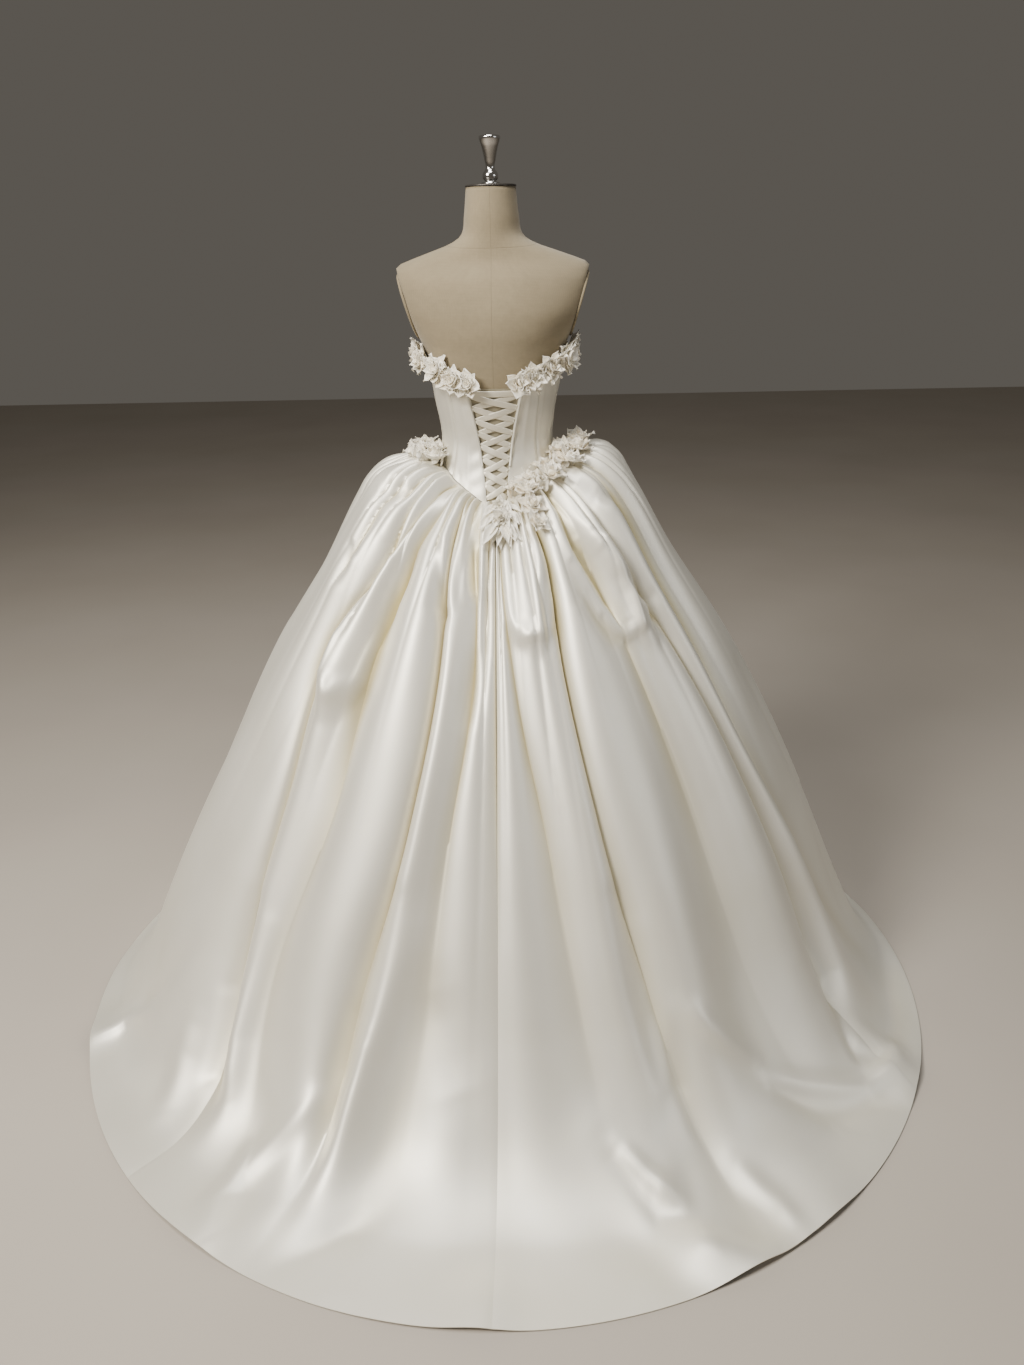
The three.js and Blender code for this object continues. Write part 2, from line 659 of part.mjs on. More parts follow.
function ripple(x, y) {
  let rise = 0;
  for (const { x0, y0, x1, y1, height, width } of RIPPLES) {
    const dx = x1 - x0;
    const dy = y1 - y0;
    const t = clamp(((x - x0) * dx + (y - y0) * dy) / (dx * dx + dy * dy), 0, 1);
    const away = Math.hypot(x - x0 - t * dx, y - y0 - t * dy) / width;
    rise += height * Math.exp(-(away ** 2));
  }
  return rise;
}

// Outer surface of the skirt at a place t across one fold (0 to 1) and s down it.
function skirtPoint(fold, t, s) {
  const here = FOLDS[fold];
  const next = FOLDS[(fold + 1) % FOLDS.length];
  const wrap = fold + 1 === FOLDS.length ? 360 : 0;
  const low = along(here.valley, s, here.valley[0]);
  const high = along(next.valley, s, next.valley[0]) + wrap;
  const angle = THREE.MathUtils.lerp(low, high, t);
  const skewed = t ** (Math.log(0.5) / Math.log(here.crest));
  const bulge = Math.sin(Math.PI * skewed) ** ROLL_POWER;
  let out = along(here.height, s, 0) * bulge;
  if (here.lip > 0) {
    const beyond = s - here.lipAt + DROOP.bow * (2 * t - 1) ** 2;
    const above = Math.exp(-((beyond / DROOP.swell) ** 2));
    const swell = beyond < 0 ? above : 1 - smooth(0, DROOP.drop, beyond);
    out += here.lip * bulge * swell;
  }
  const pleat = Math.sin(Math.PI * t * here.columns / 2) ** 2;
  out += GATHER.height * pleat * smooth(0, GATHER.peak, s) * (1 - smooth(GATHER.peak, GATHER.end, s));
  const at = skirtValley(angle, s);
  const outward = skirtOutward(angle, s);
  const radius = at.x + outward.x * out;
  const x = radius * Math.sin(deg(angle));
  const y = radius * Math.cos(deg(angle));
  const onFloor = smooth(200, 20, at.y);
  const z = Math.max(at.y + outward.y * out + ripple(x, y) * onFloor, WALL);
  return new THREE.Vector3(x, y, z);
}

// All columns round the skirt, then the cloth's normals and inner points on that grid
const COLUMNS = FOLDS.flatMap(({ columns }, fold) => (
  Array.from({ length: columns }, (_, k) => ({ fold, t: k / columns }))));
const OUTER = SKIRT_ROWS.map((s) => COLUMNS.map(({ fold, t }) => skirtPoint(fold, t, s)));
const column = (j) => (j + COLUMNS.length) % COLUMNS.length;

function clothNormal(i, j) {
  if (i === 0) {
    return new THREE.Vector3(0, 0, 1);
  }
  const across = OUTER[i][column(j + 1)].clone().sub(OUTER[i][column(j - 1)]);
  const down = OUTER[Math.min(i + 1, OUTER.length - 1)][j].clone().sub(OUTER[i - 1][j]);
  const normal = across.cross(down).normalize();
  const outward = OUTER[i][j].clone().setZ(0).normalize().setZ(1);
  return normal.dot(outward) < 0 ? normal.negate() : normal;
}
const NORMALS = OUTER.map((row, i) => row.map((_, j) => clothNormal(i, j)));

// The cloth's grid moved along its normals, over a run of columns and rows.
function clothGrid(columns, rows, out) {
  return rows.map((i) => columns.map((j) => {
    const point = OUTER[i][column(j)].clone().addScaledVector(NORMALS[i][column(j)], out);
    point.z = Math.max(point.z, 0);
    return point;
  }));
}

// Moves the two end columns of a grid round the pole, each by half the gap between gores.
function trimmed(grid) {
  return grid.map((row) => row.map((point, j) => {
    const turn = { 0: 1, [row.length - 1]: -1 }[j] ?? 0;
    const onward = new THREE.Vector3(point.y, -point.x, 0).setLength(turn * GORE_SEAM / 2);
    return turn === 0 ? point : point.clone().add(onward);
  }));
}

const range = (from, to) => Array.from({ length: to - from + 1 }, (_, k) => from + k);
const ALL_ROWS = range(0, SKIRT_ROWS.length - 1);
const PIECES = [...new Set(FOLDS.map(({ piece }) => piece))];
for (const piece of PIECES) {
  const own = range(0, COLUMNS.length - 1).filter((j) => FOLDS[COLUMNS[j].fold].piece === piece);
  const columns = range(own[0], own[own.length - 1] + 1);
  const outer = trimmed(clothGrid(columns, ALL_ROWS, 0));
  const inner = trimmed(clothGrid(columns, ALL_ROWS, -WALL));
  add(`skirt_${piece}`, wall(outer, inner), MATERIALS.satin);
}

// A flower: one cup of pointed petals with a smaller cup inside it.
// The base sits at the origin of its axis and sinks a little into the strip that carries it.
function flower(base, axis, radius, spin, stalk) {
  const corners = FLOWER.petals * 2;
  const up = axis.clone().normalize();
  const side = new THREE.Vector3(0, 0, 1).cross(up);
  if (side.lengthSq() < 1e-6) {
    side.set(1, 0, 0);
  }
  side.normalize();
  const other = up.clone().cross(side);
  const at = (r, turn, h) => base.clone()
    .addScaledVector(side, r * Math.cos(turn))
    .addScaledVector(other, r * Math.sin(turn))
    .addScaledVector(up, h);
  const ring = (tipR, notchR, tipH, notchH, lift = stalk) => Array.from({ length: corners }, (_, k) => {
    const turn = deg(spin) + 2 * Math.PI * k / corners;
    const tip = k % 2 === 0;
    return at(radius * (tip ? tipR : notchR), turn, radius * (tip ? tipH : notchH) + lift);
  });
  const hub = FLOWER.hub / radius;
  const thick = FLOWER.petal / radius;
  return loft([
    ring(hub, hub, 0, 0, -FLOWER.sink),
    ring(0.62, 0.5, 0.26, 0.32),
    ring(1, 0.58, 0.5, 0.46),
    ring(0.5, 0.42, 0.34 + thick, 0.42 + thick),
    ring(0.4, 0.28, 0.68, 0.5),
  ]);
}

// Neckline flowers on a narrow strip along the bodice's upper edge
const NECK_STALK = 3.5;
const NECK_STRIP = { from: 22, to: 97, steps: 10, low: 15, high: 3 };
function neckGarland(side) {
  const steps = range(0, NECK_STRIP.steps);
  const grid = (out) => [NECK_STRIP.low, NECK_STRIP.high].map((drop) => steps.map((k) => {
    const angle = side * THREE.MathUtils.lerp(NECK_STRIP.from, NECK_STRIP.to, k / NECK_STRIP.steps);
    return formPoint(angle, neckline(angle) - drop, out);
  }));
  const strip = wall(grid(NECK_STRIP_IN + WALL), grid(NECK_STRIP_IN));
  const blooms = NECK_FLOWERS.map(({ angle, drop, radius, tip, spin }) => {
    const place = side * angle;
    const z = neckline(place) - drop;
    const base = formPoint(place, z, NECK_STRIP_IN + WALL);
    const axis = base.clone().sub(formPoint(place, z, 0)).setLength(Math.cos(deg(tip)));
    return flower(base, axis.setZ(Math.sin(deg(tip))), radius, side * spin, NECK_STALK);
  });
  return fused([strip, ...blooms]);
}
add('neckline_flowers_left', neckGarland(1), MATERIALS.petal);
add('neckline_flowers_right', neckGarland(-1), MATERIALS.petal);

// Flowers on the skirt, on strips made from the skirt's own points moved out
const columnAngle = (j) => {
  const point = OUTER[1][column(j)];
  return THREE.MathUtils.radToDeg(Math.atan2(point.x, point.y));
};
const EVERY_COLUMN = range(0, COLUMNS.length - 1);
const CRESTS = EVERY_COLUMN.filter((j) => {
  const { fold, t } = COLUMNS[j];
  return Math.round(t * FOLDS[fold].columns) % 2 === 1;
});
function nearestColumn(angle, columns = EVERY_COLUMN) {
  return columns.reduce((best, j) => (
    Math.abs(turned(columnAngle(j) - angle)) < Math.abs(turned(columnAngle(best) - angle)) ? j : best));
}
const nearestRow = (s) => ALL_ROWS.reduce((best, i) => (
  Math.abs(SKIRT_ROWS[i] - s) < Math.abs(SKIRT_ROWS[best] - s) ? i : best));

function skirtStrip(fromAngle, toAngle, fromS, toS, inside = STRIP_IN) {
  const from = nearestColumn(fromAngle);
  const to = nearestColumn(toAngle);
  const columns = range(from, to < from ? to + COLUMNS.length : to);
  const rows = range(nearestRow(fromS), nearestRow(toS));
  return wall(clothGrid(columns, rows, inside + WALL), clothGrid(columns, rows, inside));
}

function skirtGarland(strips, flowers) {
  const blooms = flowers.map(({ angle, s, radius, lean, spin, stalk }) => {
    const i = nearestRow(s);
    const j = nearestColumn(angle, CRESTS);
    const base = OUTER[i][j].clone().addScaledVector(NORMALS[i][j], STRIP_IN + WALL);
    const outward = skirtOutward(angle, SKIRT_ROWS[i]).rotateAround(new THREE.Vector2(), deg(-lean));
    const across = Math.sin(deg(angle));
    const behind = Math.cos(deg(angle));
    const axis = new THREE.Vector3(across * outward.x, behind * outward.x, outward.y);
    return flower(base, axis, radius, spin, stalk);
  });
  return fused([...strips, ...blooms]);
}
add('waist_flowers_right', skirtGarland([
  skirtStrip(-94, -14, 0.035, 0.08),
  skirtStrip(-30, -25, 0.035, 0.19, STRIP_IN + SEAM),
], WAIST_FLOWERS_RIGHT), MATERIALS.petal);
add('waist_flowers_left', skirtGarland([
  skirtStrip(60, 100, 0.035, 0.08),
], WAIST_FLOWERS_LEFT), MATERIALS.petal);
add('point_flowers', skirtGarland([
  skirtStrip(-3.2, -0.8, 0.13, 0.19),
], POINT_FLOWERS), MATERIALS.petal);

export default dress;
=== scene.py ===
"""Looks of a strapless satin ball gown with a laced back, on a limbless dress form.

Sizes are in millimetres in the tables and classes, and metres in the meshes.
Angles go round the pole from the centre back (0) to the wearer's left (+90) and the front (180).
"""

import logging
import math
from collections.abc import Callable, Sequence
from dataclasses import dataclass
from enum import Enum

import bpy
import numpy as np
from mathutils import Matrix, Vector


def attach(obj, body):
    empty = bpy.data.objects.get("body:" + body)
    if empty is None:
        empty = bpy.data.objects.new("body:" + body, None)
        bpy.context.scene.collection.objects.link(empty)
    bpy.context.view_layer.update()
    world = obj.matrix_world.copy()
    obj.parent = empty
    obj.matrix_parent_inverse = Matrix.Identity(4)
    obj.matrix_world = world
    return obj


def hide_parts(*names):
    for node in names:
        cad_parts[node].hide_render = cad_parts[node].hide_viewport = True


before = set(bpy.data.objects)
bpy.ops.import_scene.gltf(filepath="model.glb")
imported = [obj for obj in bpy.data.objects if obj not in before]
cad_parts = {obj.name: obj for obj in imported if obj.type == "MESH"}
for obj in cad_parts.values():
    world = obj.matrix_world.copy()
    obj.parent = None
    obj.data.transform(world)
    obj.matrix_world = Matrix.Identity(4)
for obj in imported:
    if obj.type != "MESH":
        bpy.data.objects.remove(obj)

Array = np.ndarray
Piece = bpy.types.Object
Tree = bpy.types.NodeTree
Node = bpy.types.Node
Socket = bpy.types.NodeSocket
Material = bpy.types.Material
Spot = tuple[float, float]
Colour = tuple[float, float, float, float]
LOG = logging.getLogger("gown")
MM = 0.001
BODY = "root"

# Cloth and the layers of the bodice, as distances from the form
WALL = 2.0
SEAM = 0.3
MODESTY_OUT = 1.7
PANEL_OUT = 5.0
SKIRT_EDGE = 6.7
NECK_STRIP_OUT = 10.2
LACE_OUT = 4.6


def smooth(low: float, high: float, x: Array) -> Array:
    """Soft step from 0 at low to 1 at high."""
    t = np.clip((np.asarray(x, float) - low) / (high - low), 0, 1)
    return t * t * (3 - 2 * t)


def turned(angle: Array) -> Array:
    """The same angle between -180 and 180 degrees."""
    return (np.asarray(angle, float) + 180) % 360 - 180


def between(keys: Array, values: Array, where: Array) -> Array:
    """Smooth value between known ones, with slopes from the neighbours.

    Args:
        keys: rising places with known values.
        values: the value at each key.
        where: places to read.

    Returns:
        One value for each place.
    """
    where = np.asarray(where, float)
    last = len(keys) - 1
    step = np.arange(last + 1)
    before, after = np.maximum(step - 1, 0), np.minimum(step + 1, last)
    slope = (values[after] - values[before]) / (keys[after] - keys[before])
    i = np.clip(np.searchsorted(keys, where, side="right") - 1, 0, last - 1)
    span = keys[i + 1] - keys[i]
    t = np.clip((where - keys[i]) / span, 0, 1)
    rise = 3 * t**2 - 2 * t**3
    bend = (t**3 - 2 * t**2 + t) * slope[i] + (t**3 - t**2) * slope[i + 1]
    return (1 - rise) * values[i] + rise * values[i + 1] + span * bend


class Table:
    """Sizes in rows with named columns, read smoothly between the rows."""

    def __init__(self, columns: str, rows: Sequence[Sequence[float]]) -> None:
        """Keeps the rows.

        Args:
            columns: the columns' names, with spaces between them.
            rows: one sequence of numbers for each row.
        """
        self.names = columns.split()
        self.values = np.array(rows, float)

    def __getitem__(self, name: str) -> Array:
        """One whole column."""
        return self.values[:, self.names.index(name)]

    def at(self, key: str, name: str, where: Array) -> Array:
        """Values of one column where another has the given values."""
        return between(self[key], self[name], where)

    def records(self) -> list[dict[str, float]]:
        """The rows as records."""
        return [dict(zip(self.names, map(float, row))) for row in self.values]


FORM = Table("z half back front", [
    (800, 152, 105, 92), (860, 162, 115, 95), (920, 165, 120, 96), (1000, 142, 108, 92),
    (1060, 117, 89, 86), (1110, 103, 79, 82), (1150, 105, 82, 90), (1200, 113, 90, 100),
    (1250, 123, 97, 106), (1285, 133, 101, 104), (1310, 148, 103, 100), (1350, 172, 99, 93),
    (1400, 185, 82, 74), (1425, 181, 63, 62), (1433, 164, 57, 57), (1447, 124, 53, 51),
    (1463, 78, 51, 49), (1478, 56, 50, 48), (1510, 49.5, 49.5, 48), (1556, 44.5, 44.5, 44.5),
])
NECKLINE = Table("angle z", [
    (0, 1217), (22, 1228), (36, 1238), (52, 1249), (70, 1264),
    (90, 1284), (112, 1293), (140, 1304), (160, 1298), (180, 1284),
])
WAIST = Table("angle z", [
    (0, 1006), (8, 1008), (16, 1014), (29, 1030), (45, 1047),
    (65, 1070), (95, 1077), (140, 1070), (180, 1066),
])
LACED_GAP = Table("z half", [(1000, 16), (1020, 18), (1065, 22), (1115, 28), (1165, 37), (1225, 50)])


def form_point(angle: Array, z: Array, out: Array) -> Array:
    """Points round the form, moved out along the section's normal.

    Args:
        angle: degrees from the centre back.
        z: heights.
        out: distances from the form.

    Returns:
        Points, with x, y and z last.
    """
    angle, z, out = np.broadcast_arrays(*(np.asarray(v, float) for v in (angle, z, out)))
    across, behind = np.sin(np.radians(angle)), np.cos(np.radians(angle))
    half = FORM.at("z", "half", z)
    depth = np.where(behind > 0, FORM.at("z", "back", z), FORM.at("z", "front", z))
    radius = 1 / np.hypot(across / half, behind / depth)
    x, y = radius * across, radius * behind
    nx, ny = x / half**2, y / depth**2
    push = out / np.hypot(nx, ny)
    return np.stack([x + nx * push, y + ny * push, z], -1)


def neckline(angle: Array) -> Array:
    """Height of the bodice's upper edge."""
    return NECKLINE.at("angle", "z", np.abs(turned(angle)))


def waist(angle: Array) -> Array:
    """Height of the waist seam, with its point at the centre back."""
    return WAIST.at("angle", "z", np.abs(turned(angle)))


def back_angle(x: Array, z: Array) -> Array:
    """Angle of a point on the back at a distance to the left of the centre."""
    y = FORM.at("z", "back", z) * np.sqrt(1 - (x / FORM.at("z", "half", z)) ** 2)
    return np.degrees(np.arctan2(x, y))


def back_point(x: Array, z: Array, out: Array) -> Array:
    """Points over the form's back, by distance from the centre and height."""
    return form_point(back_angle(x, z), z, out)


def laced_half(z: Array) -> Array:
    """Half the gap between the laced edges."""
    return LACED_GAP.at("z", "half", z)


def unit(v: Array) -> Array:
    """Directions of length 1."""
    return v / np.maximum(np.linalg.norm(v, axis=-1, keepdims=True), 1e-9)


def grid_normals(points: Array, wrap: bool = False) -> Array:
    """Outward directions of a grid whose rows go down and columns go round.

    Args:
        points: grid of points.
        wrap: whether the last column meets the first.

    Returns:
        A unit direction for each point.
    """
    if wrap:
        across = np.roll(points, -1, 1) - np.roll(points, 1, 1)
    else:
        across = np.gradient(points, axis=1)
    return unit(np.cross(across, np.gradient(points, axis=0)))


class Mould:
    """Makes plain meshes from grids and rings of points in millimetres."""

    @staticmethod
    def mesh(name: str, points: Array, faces: list, uv: Array | None = None) -> Piece:
        """An object with smooth faces.

        Args:
            name: the piece's name.
            points: one point in each row.
            faces: tuples of point numbers.
            uv: flat place of each point in metres, if the cloth's weave follows it.

        Returns:
            The new object, in the scene.
        """
        data = bpy.data.meshes.new(name)
        data.from_pydata((np.asarray(points).reshape(-1, 3) * MM).tolist(), [], faces)
        data.polygons.foreach_set("use_smooth", [True] * len(data.polygons))
        if uv is not None:
            corners = np.zeros(len(data.loops), np.int32)
            data.loops.foreach_get("vertex_index", corners)
            layer = data.uv_layers.new(name="cloth")
            layer.data.foreach_set("uv", uv.reshape(-1, 2)[corners].astype(np.float32).ravel())
        data.update()
        piece = bpy.data.objects.new(name, data)
        bpy.context.scene.collection.objects.link(piece)
        return piece

    @staticmethod
    def quads(rows: int, columns: int, wrap: bool = False, start: int = 0) -> list:
        """Faces of a grid whose rows go down and columns go round."""
        faces = []
        for i in range(rows - 1):
            for j in range(columns if wrap else columns - 1):
                k = (j + 1) % columns
                a, b = start + i * columns, start + (i + 1) * columns
                faces.append((a + j, a + k, b + k, b + j))
        return faces

    @staticmethod
    def flat_place(points: Array) -> Array:
        """Lengths along each row and column of a grid, in metres."""
        across = np.linalg.norm(np.diff(points, axis=1), axis=-1).cumsum(1)
        down = np.linalg.norm(np.diff(points, axis=0), axis=-1).cumsum(0)
        u = np.pad(across, ((0, 0), (1, 0)))
        v = np.pad(down, ((1, 0), (0, 0)))
        return np.stack([u - u[:, -1:] / 2, v], -1) * MM

    @classmethod
    def cloth(cls, name: str, points: Array, thick: float, values: Array | None = None) -> Piece:
        """A sheet through a grid of points, with its thickness on the inside.

        Args:
            name: the piece's name.
            points: grid whose rows go down and columns go round.
            thick: the cloth's thickness.
            values: share of painted shade at each point, from 0 to 1, larger where the cloth lies deep in its
                folds.

        Returns:
            The sheet.
        """
        rows, columns = points.shape[:2]
        piece = cls.mesh(name, points, cls.quads(rows, columns), cls.flat_place(points))
        if values is not None:
            # Stores how strongly painted shade darkens each point
            piece.data.attributes.new("hollow", "FLOAT", "POINT").data.foreach_set("value", values.ravel())
        wall = piece.modifiers.new("thickness", "SOLIDIFY")
        wall.thickness = thick * MM
        wall.offset = -1
        graph = bpy.context.evaluated_depsgraph_get()
        whole = bpy.data.meshes.new_from_object(piece.evaluated_get(graph), depsgraph=graph)
        whole.set_sharp_from_angle(angle=math.radians(55))
        piece.modifiers.clear()
        piece.data = whole
        return piece

    @classmethod
    def loft(cls, name: str, rings: Array, uv: Array | None = None) -> Piece:
        """A closed solid through rings of points, the top ring first."""
        rows, columns = rings.shape[:2]
        faces = cls.quads(rows, columns, wrap=True)
        faces.append(tuple(reversed(range(columns))))
        faces.append(tuple(range((rows - 1) * columns, rows * columns)))
        return cls.mesh(name, rings, faces, uv)

    @classmethod
    def turning(cls, name: str, profile: Sequence[tuple[float, float]], sides: int = 64) -> Piece:
        """A solid turned about the pole, from radius and height pairs, the top first."""
        turn = np.linspace(0, 2 * np.pi, sides, endpoint=False)
        rings = np.array([[(r * np.sin(a), r * np.cos(a), z) for a in turn] for r, z in profile])
        return cls.loft(name, rings)

    @classmethod
    def tube(cls, name: str, path: Array, radius: Array, sides: int = 10) -> Piece:
        """A round solid along a path."""
        ahead = unit(np.gradient(path, axis=0))
        side = unit(np.cross(ahead, np.array([0, 1.0, 0])))
        other = np.cross(side, ahead)
        turn = np.linspace(0, 2 * np.pi, sides, endpoint=False)
        ring = side[:, None] * np.cos(turn)[None, :, None] + other[:, None] * np.sin(turn)[None, :, None]
        rings = path[:, None] + ring * np.broadcast_to(radius, len(path))[:, None, None]
        return cls.loft(name, rings)


class NodeMaker:
    """Short ways to add and join nodes in one tree."""

    def __init__(self, tree: Tree) -> None:
        """Works on one tree, which starts empty."""
        self.tree = tree
        tree.nodes.clear()

    def add(self, kind: str, inputs: dict | None = None, **settings: object) -> Node:
        """A node with its inputs set or joined.

        Args:
            kind: the node's type.
            inputs: socket name or number to a value or another node's output.
            settings: the node's own properties.

        Returns:
            The new node.
        """
        node = self.tree.nodes.new(kind)
        for name, value in settings.items():
            setattr(node, name, value)
        for name, value in (inputs or {}).items():
            if isinstance(value, Socket):
                self.tree.links.new(value, node.inputs[name])
            else:
                node.inputs[name].default_value = value
        return node

    def math(self, operation: str, a: object, b: object = 0.0, clamp: bool = False) -> Socket:
        """A sum or other rule on two numbers."""
        return self.add("ShaderNodeMath", {0: a, 1: b}, operation=operation, use_clamp=clamp).outputs[0]

    def mix(self, share: object, a: object, b: object) -> Socket:
        """A colour between two colours."""
        inputs = {0: share, 6: a, 7: b}
        return self.add("ShaderNodeMix", inputs, data_type="RGBA").outputs[2]


def new_group(name: str, inputs: dict[str, str], outputs: dict[str, str]) -> Tree:
    """An empty shader group with named sockets.

    Args:
        name: the group's name.
        inputs: socket names to socket types.
        outputs: socket names to socket types.

    Returns:
        The group.
    """
    group = bpy.data.node_groups.new(name, "ShaderNodeTree")
    for direction, sockets in (("INPUT", inputs), ("OUTPUT", outputs)):
        for socket, kind in sockets.items():
            group.interface.new_socket(name=socket, in_out=direction, socket_type=kind)
    return group


NUMBER, VECTOR = "NodeSocketFloat", "NodeSocketVector"


def woven_threads() -> Tree:
    """Group for the tone of crossing threads of uneven weight."""
    given_values = {"Place": VECTOR, "Threads": NUMBER, "Slub": NUMBER}
    group = new_group("woven_threads", given_values, {"Tone": NUMBER})
    make = NodeMaker(group)
    given = make.add("NodeGroupInput")
    threads = {"Vector": given.outputs["Place"], "Scale": given.outputs["Threads"],
               "Distortion": 1.5, "Detail Scale": 2.0}
    waves = [make.add("ShaderNodeTexWave", threads, bands_direction=direction).outputs["Fac"]
             for direction in ("X", "Y")]
    slub = make.add("ShaderNodeTexNoise", {"Vector": given.outputs["Place"], "Scale": given.outputs["Slub"],
                                           "Detail": 4.0, "Roughness": 0.65})
    height = make.math("MAXIMUM", waves[0], waves[1])
    uneven = make.math("MULTIPLY", slub.outputs["Fac"], 0.7)
    tone = make.math("ADD", make.math("MULTIPLY", height, 0.3), uneven)
    make.add("NodeGroupOutput", {"Tone": tone})
    return group


def uneven_tone() -> Tree:
    """Group for a slow change of tone over a surface."""
    group = new_group("uneven_tone", {"Place": VECTOR, "Scale": NUMBER}, {"Tone": NUMBER})
    make = NodeMaker(group)
    given = make.add("NodeGroupInput")
    noise = make.add("ShaderNodeTexNoise", {"Vector": given.outputs["Place"], "Scale": given.outputs["Scale"],
                                            "Detail": 3.0})
    tone = make.math("MULTIPLY", make.math("SUBTRACT", noise.outputs["Fac"], 0.3), 2.5, clamp=True)
    make.add("NodeGroupOutput", {"Tone": tone})
    return group


def seam_line() -> Tree:
    """Group for a narrow sewn line where a distance passes zero."""
    group = new_group("seam_line", {"Distance": NUMBER, "Width": NUMBER}, {"Line": NUMBER})
    make = NodeMaker(group)
    given = make.add("NodeGroupInput")
    share = make.math("DIVIDE", make.math("ABSOLUTE", given.outputs["Distance"]), given.outputs["Width"])
    make.add("NodeGroupOutput", {"Line": make.math("SUBTRACT", 1.0, share, clamp=True)})
    return group


class Groups:
    """The shared shader groups, each built once."""

    threads = woven_threads()
    tone = uneven_tone()
    seam = seam_line()


class Finish:
    """A material with one Principled shader, ready to be dressed."""

    def __init__(self, name: str) -> None:
        """Starts an empty material."""
        self.material = bpy.data.materials.new(name)
        self.material.use_nodes = True
        self.make = NodeMaker(self.material.node_tree)
        self.shader = self.make.add("ShaderNodeBsdfPrincipled")
        self.make.add("ShaderNodeOutputMaterial", {"Surface": self.shader.outputs[0]})

    def group(self, tree: Tree, inputs: dict) -> Node:
        """A shared group in this material."""
        return self.make.add("ShaderNodeGroup", inputs, node_tree=tree)

    def set(self, **values: object) -> None:
        """Sets or joins the shader's inputs, with _ for the spaces in their names."""
        for name, value in values.items():
            socket = self.shader.inputs[name.replace("_", " ")]
            if isinstance(value, Socket):
                self.make.tree.links.new(value, socket)
            else:
                socket.default_value = value

    def bump(self, height: Socket, strength: float, depth: float) -> None:
        """Raises the surface by a height, in millimetres of depth."""
        inputs = {"Height": height, "Strength": strength, "Distance": depth * MM}
        self.set(Normal=self.make.add("ShaderNodeBump", inputs).outputs[0])


@dataclass(frozen=True)
class Satin:
    """Satin cloth: two tones of its own colour mixed at random, a painted shade colour for its deep folds,
    its gloss and its threads.
    """

    name: str
    light: Colour
    deep: Colour
    # fold: painted shade colour, mixed in where the cloth lies deep in its folds
    fold: Colour
    roughness: float
    sheen: float
    metallic: float
    threads: float

    def material(self) -> Material:
        """Builds the material, with a weave that follows the cloth."""
        finish = Finish(self.name)
        place = finish.make.add("ShaderNodeUVMap", uv_map="cloth").outputs[0]
        tone = finish.group(Groups.tone, {"Place": place, "Scale": 5.0}).outputs[0]
        weave = finish.group(Groups.threads, {"Place": place, "Threads": self.threads, "Slub": 160.0})
        # Painted shade: the fold colour is mixed in by how deep the cloth lies in its folds
        hollow = finish.make.add("ShaderNodeAttribute", attribute_name="hollow").outputs["Fac"]
        cloth = finish.make.mix(tone, self.deep, self.light)
        finish.set(Base_Color=finish.make.mix(finish.make.math("MULTIPLY", hollow, 0.9), cloth, self.fold))
        rough = finish.make.math("MULTIPLY_ADD", weave.outputs["Tone"], 0.1)
        rough.node.inputs[2].default_value = self.roughness
        finish.set(Roughness=rough, Sheen_Weight=self.sheen, Sheen_Roughness=0.35)
        finish.set(Sheen_Tint=(1.0, 0.98, 0.94, 1.0), Specular_IOR_Level=0.7, Metallic=self.metallic)
        finish.bump(weave.outputs["Tone"], 0.12, 0.35)
        return finish.material


@dataclass(frozen=True)
class PetalCloth:
    """Thin petal cloth, tinted by each petal's own attribute."""

    name: str
    pale: Colour
    tinted: Colour
    roughness: float

    def material(self) -> Material:
        """Builds the material."""
        finish = Finish(self.name)
        place = finish.make.add("ShaderNodeTexCoord").outputs["Object"]
        tint = finish.make.add("ShaderNodeAttribute", attribute_name="tint").outputs["Fac"]
        fleck = finish.group(Groups.tone, {"Place": place, "Scale": 60.0}).outputs[0]
        share = finish.make.math("MULTIPLY", tint, fleck, clamp=True)
        weave = finish.group(Groups.threads, {"Place": place, "Threads": 500.0, "Slub": 300.0})
        finish.set(Base_Color=finish.make.mix(share, self.pale, self.tinted), Roughness=self.roughness)
        finish.set(Sheen_Weight=0.3, Sheen_Roughness=0.4, Subsurface_Weight=0.15)
        finish.set(Subsurface_Radius=(1.0, 0.93, 0.8), Subsurface_Scale=0.006)
        finish.bump(weave.outputs["Tone"], 0.25, 0.4)
        return finish.material


@dataclass(frozen=True)
class Linen:
    """Stretched linen with a centre back seam and a seam round the neck."""

    name: str
    light: Colour
    deep: Colour
    neck_seam: float = 1.463
    neck_slope: float = 0.16
    seam_width: float = 0.0011

    def material(self) -> Material:
        """Builds the material."""
        finish = Finish(self.name)
        make = finish.make
        flat = make.add("ShaderNodeUVMap", uv_map="cloth").outputs[0]
        place = make.add("ShaderNodeSeparateXYZ", {0: make.add("ShaderNodeTexCoord").outputs["Object"]})
        weave = finish.group(Groups.threads, {"Place": flat, "Threads": 130.0, "Slub": 90.0})
        tone = finish.group(Groups.tone, {"Place": flat, "Scale": 9.0}).outputs[0]
        level = make.math("ADD", place.outputs[2], make.math("MULTIPLY", place.outputs[1], self.neck_slope))
        round_neck = make.math("SUBTRACT", level, self.neck_seam)
        lines = [finish.group(Groups.seam, {"Distance": distance, "Width": self.seam_width}).outputs[0]
                 for distance in (place.outputs[0], round_neck)]
        seam = make.math("MAXIMUM", lines[0], lines[1])
        share = make.math("MULTIPLY_ADD", weave.outputs["Tone"], 0.75)
        make.tree.links.new(make.math("MULTIPLY", tone, 0.3), share.node.inputs[2])
        cloth = make.mix(share, self.deep, self.light)
        shade = make.math("MULTIPLY", seam, 0.45)
        finish.set(Base_Color=make.mix(shade, cloth, self.deep), Roughness=0.88)
        finish.set(Sheen_Weight=0.2, Sheen_Roughness=0.6)
        finish.bump(make.math("SUBTRACT", weave.outputs["Tone"], seam), 0.55, 0.6)
        return finish.material


